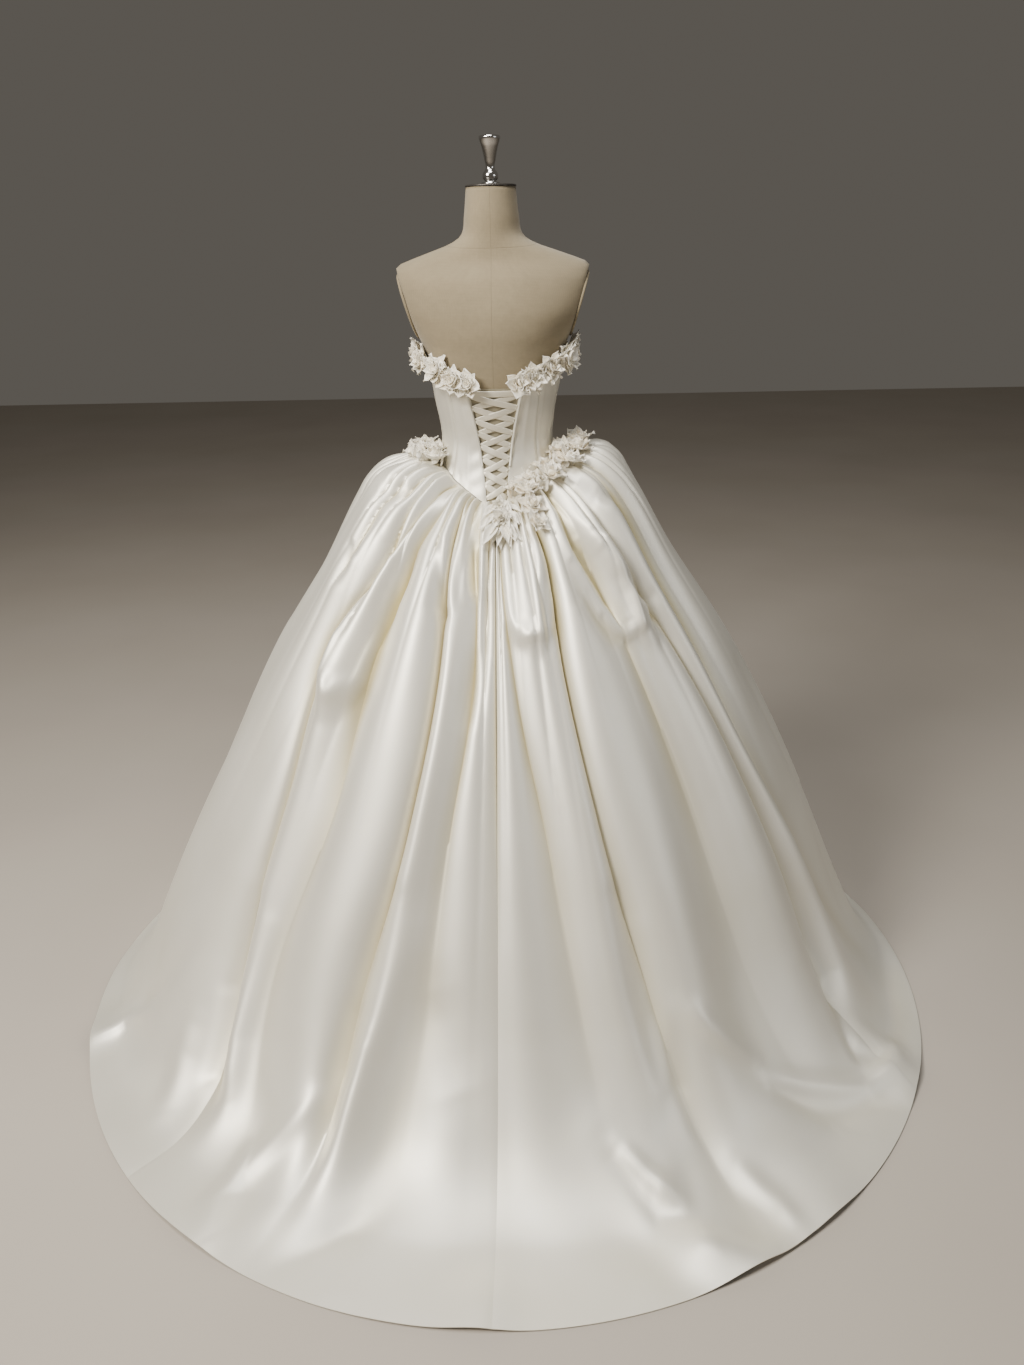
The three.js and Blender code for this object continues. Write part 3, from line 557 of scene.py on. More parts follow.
@dataclass(frozen=True)
class Metal:
    """Polished or painted metal with fine turning marks and a little wear."""

    name: str
    colour: Colour
    worn: Colour
    roughness: float
    metallic: float

    def material(self) -> Material:
        """Builds the material."""
        finish = Finish(self.name)
        make = finish.make
        place = make.add("ShaderNodeTexCoord").outputs["Object"]
        marks = make.add("ShaderNodeMapping", {"Vector": place, "Scale": (4.0, 4.0, 900.0)}).outputs[0]
        noise = {"Vector": marks, "Scale": 1.0, "Detail": 2.0}
        turning = make.add("ShaderNodeTexNoise", noise).outputs["Fac"]
        wear = finish.group(Groups.tone, {"Place": place, "Scale": 35.0}).outputs[0]
        rough = make.math("ADD", make.math("MULTIPLY", turning, 0.1), self.roughness)
        finish.set(Base_Color=make.mix(make.math("MULTIPLY", wear, 0.5), self.colour, self.worn))
        finish.set(Roughness=rough, Metallic=self.metallic)
        finish.bump(turning, 0.06, 0.1)
        return finish.material


class Finishes:
    """Every finish of the gown, the form and its stand."""

    # The third colour of each satin is a painted shade colour for its deep folds.
    satin = Satin("satin", (0.86, 0.835, 0.745, 1), (0.81, 0.78, 0.68, 1), (0.50, 0.43, 0.22, 1),
                  0.42, 0.05, 0.50, 900.0).material()
    # A darker satin for the modesty panel: painted shade between the ribbons, where the real panel is the
    # gown's ivory satin.
    modesty_painted_shade = Satin("satin_lining", (0.42, 0.38, 0.28, 1), (0.36, 0.32, 0.22, 1), (0.36, 0.32, 0.22, 1),
                   0.4, 0.05, 0.2, 900.0).material()
    # The ribbon is the same satin as the gown; its colours are darker than the gown's as painted shade.
    ribbon = Satin("ribbon", (0.74, 0.70, 0.59, 1), (0.68, 0.63, 0.51, 1), (0.5, 0.46, 0.34, 1),
                   0.36, 0.1, 0.3, 900.0).material()
    petal = PetalCloth("petal", (0.98, 0.945, 0.84, 1), (0.93, 0.76, 0.50, 1), 0.38).material()
    linen = Linen("form_linen", (0.30, 0.245, 0.15, 1), (0.17, 0.135, 0.078, 1)).material()
    polished = Metal("polished_metal", (0.72, 0.71, 0.69, 1), (0.55, 0.53, 0.50, 1), 0.10, 1.0).material()
    dark = Metal("dark_metal", (0.05, 0.045, 0.04, 1), (0.10, 0.09, 0.08, 1), 0.35, 0.6).material()


class Slot(Enum):
    """Material slots of the record."""

    SATIN = "satin"
    RIBBON = "ribbon"
    PETAL = "petal"
    LINEN = "form_linen"
    POLISHED = "polished_metal"
    DARK = "dark_metal"

    def material(self) -> Material:
        """The finish for this slot."""
        return {Slot.SATIN: Finishes.satin, Slot.RIBBON: Finishes.ribbon, Slot.PETAL: Finishes.petal,
                Slot.LINEN: Finishes.linen, Slot.POLISHED: Finishes.polished, Slot.DARK: Finishes.dark}[self]


def dress(piece: Piece, slot: Slot, *nodes: str) -> Piece:
    """Gives a piece its finish and its place in the frame.

    Args:
        piece: the finished object.
        slot: the record's slot that it takes its finish from.
        nodes: the frame's nodes that it stands for.

    Returns:
        The same object.
    """
    piece.data.materials.clear()
    piece.data.materials.append(slot.material())
    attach(piece, BODY)
    if nodes:
        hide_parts(*nodes)
    LOG.info("%s: %d faces", piece.name, len(piece.data.polygons))
    return piece


# Turned parts of the form and its stand: radius and height, the top first
AXIS = 0.5
NECK_CAP = (
    (AXIS, 1559.8), (38, 1559.8), (44, 1559.6), (45.5, 1558.9), (46, 1557.8), (46, 1556.3), (AXIS, 1556.3),
)
POLE = ((AXIS, 799.7), (15, 799.7), (16, 798.7), (16, 26.3), (15, 25.3), (AXIS, 25.3))
FOOT = (
    (AXIS, 25), (27, 25), (30, 24.6), (60, 22), (120, 17), (184, 12),
    (188, 8), (190, 3.4), (189.4, 1), (187, 0), (AXIS, 0),
)
FINIAL_FOOT = 1560.1
FINIAL = Table("height radius", [
    (0, 17), (2.5, 17), (4.5, 10), (8.5, 13.2), (13.5, 14.2), (19, 12.6), (23.5, 9),
    (28, 8), (41, 10.5), (61, 15.2), (74, 19.2), (77, 18.6), (78.2, 15), (78.5, 12),
])
# Rounded rim of an arm plate: share of its width and share of its thickness
PLATE_RIM = ((0.02, 1.0), (0.5, 1.0), (0.9, 0.98), (0.97, 0.85), (1.0, 0.5), (1.0, 0.0), (0.02, 0.0))


@dataclass
class DressForm:
    """Padded torso with flat arm plates, a neck cap, a turned finial and its stand."""

    bottom: float = 800.0
    neck_top: float = 1556.0
    arm_z: float = 1285.0
    arm_x: float = 135.0
    arm_lean: float = 0.3
    edge_round: float = 1.6
    ease: float = 1.5
    plate_z: float = 1358.0
    plate_half_width: float = 42.0
    plate_half_height: float = 56.0
    plate_thick: float = 3.0
    binding_grow: float = 1.02
    binding_radius: float = 2.4
    sides: int = 160
    rows: int = 110

    def torso(self) -> None:
        """The linen-covered body, flat at the arms, with a soft edge round them."""
        z = np.linspace(self.neck_top, self.bottom, self.rows)[:, None]
        step = np.linspace(0, 2 * np.pi, self.sides, endpoint=False)[None, :]
        depth = np.where(np.cos(step) > 0, FORM.at("z", "back", z), FORM.at("z", "front", z))
        angle = np.degrees(np.arctan2(FORM.at("z", "half", z) * np.sin(step), depth * np.cos(step)))
        rings = form_point(angle, z, -self.ease * (1 - smooth(1190, 1225, z)))
        limit = self.arm_x + self.arm_lean * (z - self.arm_z)
        over = (np.abs(rings[..., 0]) - limit) / self.edge_round
        drawn = np.abs(rings[..., 0]) - self.edge_round * np.logaddexp(0, over)
        rings[..., 0] = np.sign(rings[..., 0]) * np.maximum(drawn, 0)
        flat = np.stack([np.broadcast_to(np.radians(angle) * 105, rings.shape[:2]), rings[..., 2]], -1) * MM
        dress(Mould.loft("torso_linen", rings, flat), Slot.LINEN, "form_torso")

    def arm_plate(self, side: int) -> None:
        """One oval plate over an arm opening, with a rounded rim and a linen binding."""
        out = Vector((side, 0, -self.arm_lean)).normalized()
        slope = Vector((side * self.arm_lean, 0, 1)).normalized()
        x = side * (self.arm_x + self.arm_lean * (self.plate_z - self.arm_z))
        centre = np.array(Vector((x, 0, self.plate_z)) + out * SEAM)
        turn = np.linspace(0, 2 * np.pi, 64, endpoint=False)
        across, along, face = np.array(out.cross(slope)), np.array(slope), np.array(out)
        ring = (np.cos(turn)[:, None] * along * self.plate_half_height
                + np.sin(turn)[:, None] * across * self.plate_half_width)
        rings = np.array([centre + ring * share + face * height * self.plate_thick
                          for share, height in PLATE_RIM])
        name = "left" if side > 0 else "right"
        self.arm_binding(f"arm_binding_{name}", ring, centre + face * self.plate_thick / 2, face)
        dress(Mould.loft(f"arm_disc_{name}", rings[:, ::-1]), Slot.DARK, f"arm_plate_{name}")

    def arm_binding(self, name: str, ring: Array, centre: Array, face: Array) -> None:
        """The round linen binding of one arm plate.

        Args:
            name: the piece's name.
            ring: the plate's edge about its centre.
            centre: the binding's centre.
            face: the way the plate faces.
        """
        whole = np.concatenate([ring, ring[:2]])
        sides = np.linspace(0, 2 * np.pi, 10, endpoint=False)
        away = np.cos(sides)[None, :, None] * unit(whole)[:, None] + np.sin(sides)[None, :, None] * face
        rims = (whole * self.binding_grow + centre)[:, None] + self.binding_radius * away
        dress(Mould.loft(name, rims[:-1]), Slot.LINEN)

    def finial(self) -> None:
        """The turned knob on the neck cap."""
        heights = np.unique(np.concatenate([np.linspace(4.5, 74, 40), FINIAL["height"]]))[::-1]
        radii = FINIAL.at("height", "radius", heights)
        side = [(float(r), FINIAL_FOOT + float(h)) for r, h in zip(radii, heights)]
        knob = [(AXIS, FINIAL_FOOT + float(heights[0])), *side, (AXIS, FINIAL_FOOT)]
        dress(Mould.turning("turned_finial", knob, 64), Slot.POLISHED, "finial")

    def build(self) -> None:
        """Builds the form and its stand."""
        self.torso()
        self.arm_plate(1)
        self.arm_plate(-1)
        dress(Mould.turning("neck_disc", NECK_CAP, 96), Slot.DARK, "neck_cap")
        self.finial()
        dress(Mould.turning("stand_tube", POLE, 48), Slot.POLISHED, "stand_pole")
        dress(Mould.turning("stand_foot", FOOT, 96), Slot.DARK, "stand_base")


@dataclass
class Bodice:
    """Seven boned satin panels, the modesty panel and the piped edges."""

    back_seam: float = 52.0
    side_seam: float = 100.0
    front_seam: float = 150.0
    rib: float = 0.9
    rib_width: float = 4.5
    rows: int = 40
    columns: int = 46
    thick: float = 1.6
    stitch_step: float = 3.2
    seam_stitch: float = 2.2
    cup_rise: float = 24.0
    cup_angle: float = 140.0
    cup_spread: float = 25.0
    cup_z: float = 1216.0
    cup_height: float = 50.0
    modesty_top: float = 1217.0
    cord: float = 2.0
    cord_top: float = 1210.0
    cord_low: float = 1075.0

    def cup(self, angle: Array, z: Array) -> Array:
        """How far the panels stand off the form over the bust."""
        off = (np.abs(turned(angle)) - self.cup_angle) / self.cup_spread
        return self.cup_rise * np.exp(-(off**2) - ((z - self.cup_z) / self.cup_height) ** 2)

    def seam(self, angle: float, side: int) -> Callable[[Array], Array]:
        """A seam line at one angle, half the seam gap to one side of it."""
        def line(z: Array) -> Array:
            """Angle of the line at a height."""
            reach = np.linalg.norm(form_point(angle, z, PANEL_OUT)[..., :2], axis=-1)
            return angle + side * np.degrees(SEAM / 2 / reach)
        return line

    @staticmethod
    def laced(z: Array) -> Array:
        """Angle of the left laced edge."""
        return back_angle(laced_half(z), z)

    def pulls(self, angle: Array, z: Array, v: Array) -> Array:
        """Soft creases where the lacing and the seams draw the cloth."""
        off = turned(angle)
        rise = 0.7 * np.sin(z * 0.19 + off * 0.11) * np.exp(-((np.abs(off) - 24) / 9) ** 2)
        rise += -1.6 * np.exp(-((z - 1196 + 0.22 * np.abs(off)) / 5) ** 2) * np.exp(-((off - 30) / 9) ** 2)
        rise += -1.1 * np.exp(-((z - 1187 - 0.15 * np.abs(off)) / 5) ** 2) * np.exp(-((off + 33) / 8) ** 2)
        rise += 0.9 * np.sin(off * 0.42 + 2 * np.sin(off * 0.13)) * np.exp(-((z - waist(angle)) / 16) ** 2)
        rise += 0.6 * np.sin(off * 0.085 + z * 0.043) + 0.4 * np.sin(z * 0.09 - off * 0.05)
        return rise * smooth(0, 0.06, v) * smooth(0, 0.06, 1 - v)

    def panel(self, name: str, start: Callable, end: Callable, ribs: Sequence[float]) -> Piece:
        """One panel between two seams.

        Args:
            name: the node's name.
            start: angle of its first edge at a height.
            end: angle of its last edge at a height.
            ribs: shares of its width that carry a boned rib.

        Returns:
            The dressed panel.
        """
        u = np.linspace(0, 1, self.columns)[None, :]
        v = np.linspace(1, 0, self.rows)[:, None]
        guess = start(1100.0) + (end(1100.0) - start(1100.0)) * u
        level = waist(guess) + (neckline(guess) - waist(guess)) * v
        angle = start(level) + (end(level) - start(level)) * u
        z = waist(angle) + (neckline(angle) - waist(angle)) * v
        width = np.linalg.norm(form_point(end(1150.0), 1150.0, 5) - form_point(start(1150.0), 1150.0, 5))
        raised = sum(self.rib * np.exp(-(((u - place) * width / self.rib_width) ** 2)) for place in ribs)
        edge = 0.9 * (np.exp(-u * width / 2.2) + np.exp(-(1 - u) * width / 2.2))
        out = PANEL_OUT + self.cup(angle, z) + raised - edge + self.pulls(angle, z, v)
        piece = Mould.cloth(f"{name}_satin", form_point(angle, z, out), self.thick)
        dress(piece, Slot.SATIN, name)
        return piece

    def modesty(self) -> None:
        """The plain panel behind the lacing."""
        low = float(waist(0))
        z = np.linspace(self.modesty_top, low, 40)[:, None]
        reach = laced_half(z) + 11 * smooth(low, low + 60, z) - 2
        x = reach * np.linspace(-1, 1, 24)[None, :]
        soft = 0.35 * np.sin(z * 0.11 + x * 0.05) + 0.3 * np.sin(x * 0.16 + z * 0.03)
        piece = Mould.cloth("modesty_satin", back_point(x, z + 0 * x, MODESTY_OUT - 0.5 + soft), 0.8)
        dress(piece, Slot.SATIN, "modesty_panel")
        # The panel's darker satin is painted shade between the ribbons.
        piece.data.materials[0] = Finishes.modesty_painted_shade

    def piping(self, side: int) -> None:
        """The round edge beside the lacing."""
        z = np.linspace(self.cord_top, self.cord_low, 90)
        path = back_point(side * (laced_half(z) + 1.6), z, PANEL_OUT + 2.3)
        name = "left" if side > 0 else "right"
        piece = Mould.tube(f"piping_cord_{name}", path, np.full(len(z), self.cord))
        dress(piece, Slot.SATIN, f"piping_{name}")

    def stitches(self) -> None:
        """Sewing along the seams, the upper edge and the laced edges."""
        lines = []
        rise = np.linspace(0.03, 0.97, 60)
        seams = (self.back_seam, self.side_seam, self.front_seam)
        for angle in (*seams, *(360 - seam for seam in reversed(seams))):
            for offset in (-self.seam_stitch, self.seam_stitch):
                z = waist(angle) + (neckline(angle) - waist(angle)) * rise
                place = angle + np.degrees(offset / 112)
                lines.append(form_point(place, z, PANEL_OUT + self.cup(place, z) + 0.25))
        for side in (1, -1):
            z = np.linspace(self.cord_top - 3, self.cord_low, 60)
            lines.append(back_point(side * (laced_half(z) + 5.4), z, PANEL_OUT + 0.35))
        round_top = np.linspace(100, 260, 160)
        top = neckline(round_top) - 5
        lines.append(form_point(round_top, top, PANEL_OUT + self.cup(round_top, top) + 0.4))
        dress(Sewing(self.stitch_step).along("bodice_stitches", lines), Slot.SATIN)

    def build(self) -> None:
        """Builds every piece of the bodice."""
        back, side, front = self.back_seam, self.side_seam, self.front_seam
        ribs = (0.08, 0.5, 0.92)
        self.panel("bodice_back_left", self.laced, self.seam(back, -1), ribs[1:])
        self.panel("bodice_side_left", self.seam(back, 1), self.seam(side, -1), ribs)
        self.panel("bodice_front_left", self.seam(side, 1), self.seam(front, -1), ribs)
        self.panel("bodice_front_center", self.seam(front, 1), self.seam(360 - front, -1), ribs)
        self.panel("bodice_front_right", self.seam(360 - front, 1), self.seam(360 - side, -1), ribs)
        self.panel("bodice_side_right", self.seam(360 - side, 1), self.seam(360 - back, -1), ribs)
        self.panel("bodice_back_right", self.seam(360 - back, 1), lambda z: 360 - self.laced(z), ribs[:-1])
        self.modesty()
        self.piping(1)
        self.piping(-1)
        self.stitches()


def new_modifier_tree(name: str, inputs: dict[str, str]) -> tuple[Tree, NodeMaker, Node]:
    """An empty geometry tree with named inputs.

    Args:
        name: the tree's name.
        inputs: socket names to socket types, after the geometry.

    Returns:
        The tree, its node maker and its input node.
    """
    tree = bpy.data.node_groups.new(name, "GeometryNodeTree")
    tree.interface.new_socket(name="Geometry", in_out="INPUT", socket_type="NodeSocketGeometry")
    for socket, kind in inputs.items():
        tree.interface.new_socket(name=socket, in_out="INPUT", socket_type=kind)
    tree.interface.new_socket(name="Geometry", in_out="OUTPUT", socket_type="NodeSocketGeometry")
    make = NodeMaker(tree)
    return tree, make, make.add("NodeGroupInput")


def end_tree(make: NodeMaker, given: Node, placed: Node) -> None:
    """Makes the copies of a tree real and gives them their finish.

    Args:
        make: the tree's node maker.
        given: its input node.
        placed: the node that holds the copies.
    """
    real = make.add("GeometryNodeRealizeInstances", {0: placed.outputs[0]})
    inputs = {0: real.outputs[0], "Material": given.outputs["Finish"]}
    make.add("NodeGroupOutput", {0: make.add("GeometryNodeSetMaterial", inputs).outputs[0]})


def run_tree(piece: Piece, tree: Tree, values: dict[str, object]) -> Piece:
    """Runs a geometry tree on an object and makes the result plain.

    Args:
        piece: the object that the tree starts from.
        tree: the geometry tree.
        values: input names to values.

    Returns:
        The same object, with the finished mesh and no modifier.
    """
    modifier = piece.modifiers.new(tree.name, "NODES")
    modifier.node_group = tree
    for item in tree.interface.items_tree:
        if item.in_out == "INPUT" and item.name in values:
            modifier[item.identifier] = values[item.name]
    piece.update_tag()
    graph = bpy.context.evaluated_depsgraph_get()
    result = bpy.data.meshes.new_from_object(piece.evaluated_get(graph), depsgraph=graph)
    piece.modifiers.clear()
    piece.data = result
    return piece


@dataclass
class Sewing:
    """Short raised stitches at even steps along lines."""

    step: float
    length: float = 2.0
    radius: float = 0.22

    def tree(self) -> Tree:
        """Tree that sets one stitch at each step of every line."""
        inputs = {"Step": NUMBER, "Length": NUMBER, "Radius": NUMBER, "Finish": "NodeSocketMaterial"}
        tree, make, given = new_modifier_tree("sewn_stitches", inputs)
        step, length, radius = (given.outputs[name] for name in ("Step", "Length", "Radius"))
        curves = make.add("GeometryNodeMeshToCurve", {0: given.outputs["Geometry"]})
        spots = {0: curves.outputs[0], "Length": step}
        points = make.add("GeometryNodeCurveToPoints", spots, mode="LENGTH")
        bar = {"Vertices": 6, "Side Segments": 2, "Depth": length,
               "Radius Top": radius, "Radius Bottom": radius}
        stitch = make.add("GeometryNodeMeshCone", bar)
        copies = {"Points": points.outputs[0], "Instance": stitch.outputs[0],
                  "Rotation": points.outputs["Rotation"]}
        end_tree(make, given, make.add("GeometryNodeInstanceOnPoints", copies))
        return tree

    def along(self, name: str, lines: list[Array]) -> Piece:
        """Sews along lines of points.

        Args:
            name: the piece's name.
            lines: arrays of points.

        Returns:
            One object with every stitch.
        """
        data = bpy.data.meshes.new(name)
        points = np.concatenate(lines) * MM
        edges, start = [], 0
        for line in lines:
            edges += [(start + i, start + i + 1) for i in range(len(line) - 1)]
            start += len(line)
        data.from_pydata(points.tolist(), edges, [])
        piece = bpy.data.objects.new(name, data)
        bpy.context.scene.collection.objects.link(piece)
        return run_tree(piece, self.tree(), {"Step": self.step * MM, "Length": self.length * MM,
                                             "Radius": self.radius * MM, "Finish": Finishes.satin})


@dataclass
class Lacing:
    """One ribbon crossed down the back through small loops, with a straight band at the top."""

    top: float = 1206.0
    step: float = 23.5
    crossings: int = 8
    width: float = 11.0
    thick: float = 0.7

    def band(self, start: Spot, end: Spot, over: float, name: str) -> Piece:
        """A band between two places on the back.

        Args:
            start: distance from the centre and height of its first end.
            end: the same for its last end.
            over: how far it rises over the other band where they cross.
            name: the band's name.

        Returns:
            The band, with no finish yet.
        """
        a, b = np.array(start, float), np.array(end, float)
        t = np.linspace(0, 1, 30)[None, :]
        w = np.linspace(1, -1, 9)[:, None]
        length = np.linalg.norm(b - a)
        side = np.array([-(b - a)[1], (b - a)[0]]) / length
        side = side if side[1] > 0 else -side
        ends = np.minimum(t, 1 - t)
        half = self.width / 2 * (0.72 + 0.28 * smooth(0, 0.22, ends))
        sag = -0.9 * np.sin(np.pi * t)
        x = a[0] + (b - a)[0] * t + side[0] * w * half
        z = a[1] + (b - a)[1] * t + side[1] * w * half + sag
        crown = 0.45 * (1 - w**2) - 0.25 * np.sin(w * 5 + t * 3) * (1 - smooth(0, 0.25, ends))
        out = LACE_OUT + over * np.exp(-(((t - 0.5) / 0.2) ** 2)) + crown - 0.8 * (1 - smooth(0, 0.08, ends))
        return Mould.cloth(name, back_point(x, z, out), self.thick)

    def build(self) -> None:
        """Builds the bands as one ribbon, and the loops that hold it."""
        bands = [self.band((49, self.top + 3), (-49, self.top + 3), 0.6, "band_top")]
        for k in range(self.crossings):
            high, low = self.top - self.step * k, self.top - self.step * (k + 1)
            first, last = float(laced_half(high)) + 1, float(laced_half(low)) + 1
            over = 1.5 if k % 2 == 0 else -0.2
            bands.append(self.band((first, high), (-last, low), over, f"band_a{k}"))
            bands.append(self.band((-first, high), (last, low), 1.3 - over, f"band_b{k}"))
        graph = bpy.context.evaluated_depsgraph_get()
        meshes = [bpy.data.meshes.new_from_object(band.evaluated_get(graph)) for band in bands]
        points, faces, flat = [], [], []
        for mesh in meshes:
            start = len(points)
            points += [tuple(v.co / MM) for v in mesh.vertices]
            faces += [tuple(start + i for i in face.vertices) for face in mesh.polygons]
            place = np.zeros((len(mesh.vertices), 2))
            for loop, spot in zip(mesh.loops, mesh.uv_layers[0].data):
                place[loop.vertex_index] = spot.uv
            flat.append(place)
        for band in bands:
            bpy.data.objects.remove(band)
        ribbon = Mould.mesh("laced_ribbon", np.array(points), faces, np.concatenate(flat))
        dress(ribbon, Slot.RIBBON, "lacing_ribbon")
        self.loops()

    def loops(self) -> None:
        """Small cloth loops on the piping at every lacing level."""
        places, turns = [], []
        for k in range(self.crossings):
            z = self.top - self.step * k
            for side in (1, -1):
                spot = back_point(side * (float(laced_half(z)) - 0.4), z, LACE_OUT + 1.4)
                places.append(spot)
                turns.append((math.radians(90), math.radians(-8 * side), 0.0 if side > 0 else math.pi))
        count = len(places)
        kinds, tints = np.zeros(count, int), np.zeros(count)
        loops = Scatter("lace_loops", [self.template()])
        piece = loops.place(np.array(places), np.array(turns), np.ones(count), kinds, tints, Finishes.satin)
        dress(piece, Slot.SATIN)

    @staticmethod
    def template() -> Piece:
        """One open loop of thin cord."""
        turn = np.linspace(np.radians(-10), np.radians(190), 9)
        path = np.stack([-3.2 * np.sin(turn), 3.6 * np.cos(turn), 0 * turn], -1)
        return Mould.tube("loop_shape", path, np.full(len(path), 0.75), 6)


@dataclass
class Scatter:
    """Copies a few small shapes to points with their own turn, size, kind and tint."""

    name: str
    shapes: list[Piece]

    def tree(self) -> Tree:
        """Tree that sets one shape on every point."""
        inputs = {f"Shape {k}": "NodeSocketObject" for k in range(len(self.shapes))}
        tree, make, given = new_modifier_tree(self.name, inputs | {"Finish": "NodeSocketMaterial"})
        joined = make.add("GeometryNodeGeometryToInstance")
        for k in reversed(range(len(self.shapes))):
            info = make.add("GeometryNodeObjectInfo", {"Object": given.outputs[f"Shape {k}"]})
            tree.links.new(info.outputs["Geometry"], joined.inputs[0])

        def read(name: str, kind: str) -> Socket:
            """A named attribute of the points."""
            return make.add("GeometryNodeInputNamedAttribute", {"Name": name}, data_type=kind).outputs[0]

        turn = make.add("FunctionNodeEulerToRotation", {0: read("turn", "FLOAT_VECTOR")}).outputs[0]
        copies = {"Points": given.outputs["Geometry"], "Instance": joined.outputs[0], "Pick Instance": True,
                  "Instance Index": read("kind", "INT"), "Rotation": turn,
                  "Scale": read("stretch", "FLOAT_VECTOR")}
        end_tree(make, given, make.add("GeometryNodeInstanceOnPoints", copies))
        return tree

    def place(self, points: Array, turns: Array, sizes: Array, kinds: Array, tints: Array,
              finish: Material) -> Piece:
        """Copies the shapes.

        Args:
            points: places in millimetres.
            turns: Euler angles in radians.
            sizes: one size, or three, for each copy.
            kinds: which shape each copy has.
            tints: how strongly each copy is tinted.
            finish: the material of every copy.

        Returns:
            One plain object.
        """
        data = bpy.data.meshes.new(self.name)
        data.from_pydata((points * MM).tolist(), [], [])
        stretch = np.repeat(sizes[:, None], 3, 1) if sizes.ndim == 1 else sizes
        attributes = (("turn", "FLOAT_VECTOR", "vector", turns), ("kind", "INT", "value", kinds),
                      ("stretch", "FLOAT_VECTOR", "vector", stretch), ("tint", "FLOAT", "value", tints))
        for name, kind, field, values in attributes:
            data.attributes.new(name, kind, "POINT").data.foreach_set(field, np.ravel(values))
        piece = bpy.data.objects.new(self.name, data)
        bpy.context.scene.collection.objects.link(piece)
        inputs = {f"Shape {k}": shape for k, shape in enumerate(self.shapes)}
        run_tree(piece, self.tree(), inputs | {"Finish": finish})
        for shape in self.shapes:
            bpy.data.objects.remove(shape)
        return piece


SKIRT = Table("s backR backZ leftR leftZ rightR rightZ frontR frontZ", [
    (0, 112, 1008, 113, 1076, 113, 1076, 94, 1066),
    (0.09, 144, 1000, 178, 1072, 158, 1080, 130, 1054),
    (0.18, 186, 953, 227, 1049, 210, 1069, 175, 1018),
    (0.27, 240, 878, 269, 988, 255, 1012, 222, 940),
    (0.36, 305, 782, 335, 873, 320, 887, 275, 820),
    (0.45, 385, 650, 426, 722, 414, 733, 335, 670),
    (0.55, 470, 500, 515, 560, 504, 564, 400, 505),
    (0.64, 560, 340, 611, 388, 591, 386, 465, 330),
    (0.73, 655, 185, 706, 210, 670, 204, 530, 160),
    (0.82, 765, 62, 778, 67, 741, 71, 580, 45),
    (0.91, 885, 8, 817, 14, 796, 12, 604, 12),
    (1, 1028, 2, 843, 2, 830, 2, 622, 2),
])
STATIONS = np.array([0, 0.1, 0.25, 0.4, 0.55, 0.7, 0.85, 1])


@dataclass(frozen=True)
class Fold:
    """One roll of the skirt, from its valley to the next one."""

    gore: str
    crest: float
    valley: tuple[float, ...]
    height: tuple[float, ...]
    lip: float = 0.0
    lip_at: float = 0.0


FOLDS = [
    Fold("back_left", 0.6, (0, 0, 0, 0, 0, 0, 0), (6, 12, 14, 12, 9, 5, 4)),
    Fold("back_left", 0.7, (10, 8, 7, 10, 11.5, 12, 12), (8, 20, 26, 28, 30, 18, 6)),
    Fold("back_left", 0.37, (22, 21, 17.5, 19, 22.5, 22, 23), (8, 24, 34, 38, 34, 16, 5)),
    Fold("back_left", 0.6, (32, 39, 39.5, 37, 38.5, 33, 32), (8, 24, 26, 18, 22, 12, 5), 12, 0.445),
    Fold("side_left", 0.35, (41.5, 46, 54, 50, 46.5, 40.5, 40), (12, 30, 38, 42, 38, 20, 8)),
    Fold("front", 0.4, (94, 94, 94, 94, 94, 94, 94), (10, 24, 30, 32, 30, 16, 6)),
    Fold("front", 0.62, (115, 114, 115, 116, 115, 114, 115), (9, 20, 26, 28, 26, 14, 5)),
    Fold("front", 0.45, (136, 137, 138, 137, 136, 137, 137), (9, 22, 28, 30, 28, 14, 5)),
    Fold("front", 0.6, (158, 159, 158, 159, 160, 159, 158), (9, 20, 26, 28, 25, 13, 5)),
    Fold("front", 0.38, (180, 179, 180, 181, 180, 180, 181), (9, 22, 27, 30, 28, 14, 5)),
    Fold("front", 0.58, (202, 203, 202, 201, 202, 203, 202), (9, 20, 26, 28, 25, 13, 5)),
    Fold("front", 0.42, (224, 223, 224, 225, 224, 223, 224), (9, 22, 28, 30, 27, 14, 5)),
    Fold("front", 0.62, (245, 246, 245, 244, 245, 246, 245), (9, 24, 29, 31, 28, 15, 6)),
    Fold("side_right", 0.4, (266, 266, 266, 266, 266, 266, 266), (10, 26, 34, 38, 36, 20, 8)),
    Fold("side_right", 0.64, (294, 293.5, 293, 293, 288.5, 285, 284), (10, 24, 30, 30, 32, 20, 8)),
    Fold("back_right", 0.38, (310, 309, 303.5, 300.5, 299.5, 303, 306),
         (8, 20, 20, 28, 32, 16, 6), 12, 0.385),
    Fold("back_right", 0.68, (320.5, 319.5, 317.5, 316, 316.5, 317, 317), (8, 24, 32, 34, 30, 14, 6)),
    Fold("back_right", 0.36, (339, 336.5, 339, 338, 335, 334, 334), (9, 24, 22, 26, 28, 16, 5), 10, 0.345),
    Fold("back_right", 0.6, (357, 357, 354, 349.5, 347, 346, 346), (5, 9, 14, 16, 14, 8, 4)),
]
RIPPLES = Table("x0 y0 x1 y1 height width", [
    (-174, 727, -330, 883, 16, 55), (-330, 883, -421, 920, 12, 50), (334, 830, 278, 708, 18, 60),
    (-656, 428, -738, 515, 22, 55), (825, 413, 682, 303, 14, 45), (-466, 591, -555, 837, 12, 70),
    (30, 1095, 20, 985, 12, 60), (444, 631, 525, 865, 10, 80),
])


@dataclass(frozen=True)
class Crease:
    """A soft ridge (rise above 0) or trough along a line of angle and place between waist and hem."""

    rise: float
    width: float
    line: tuple[tuple[float, float], ...]


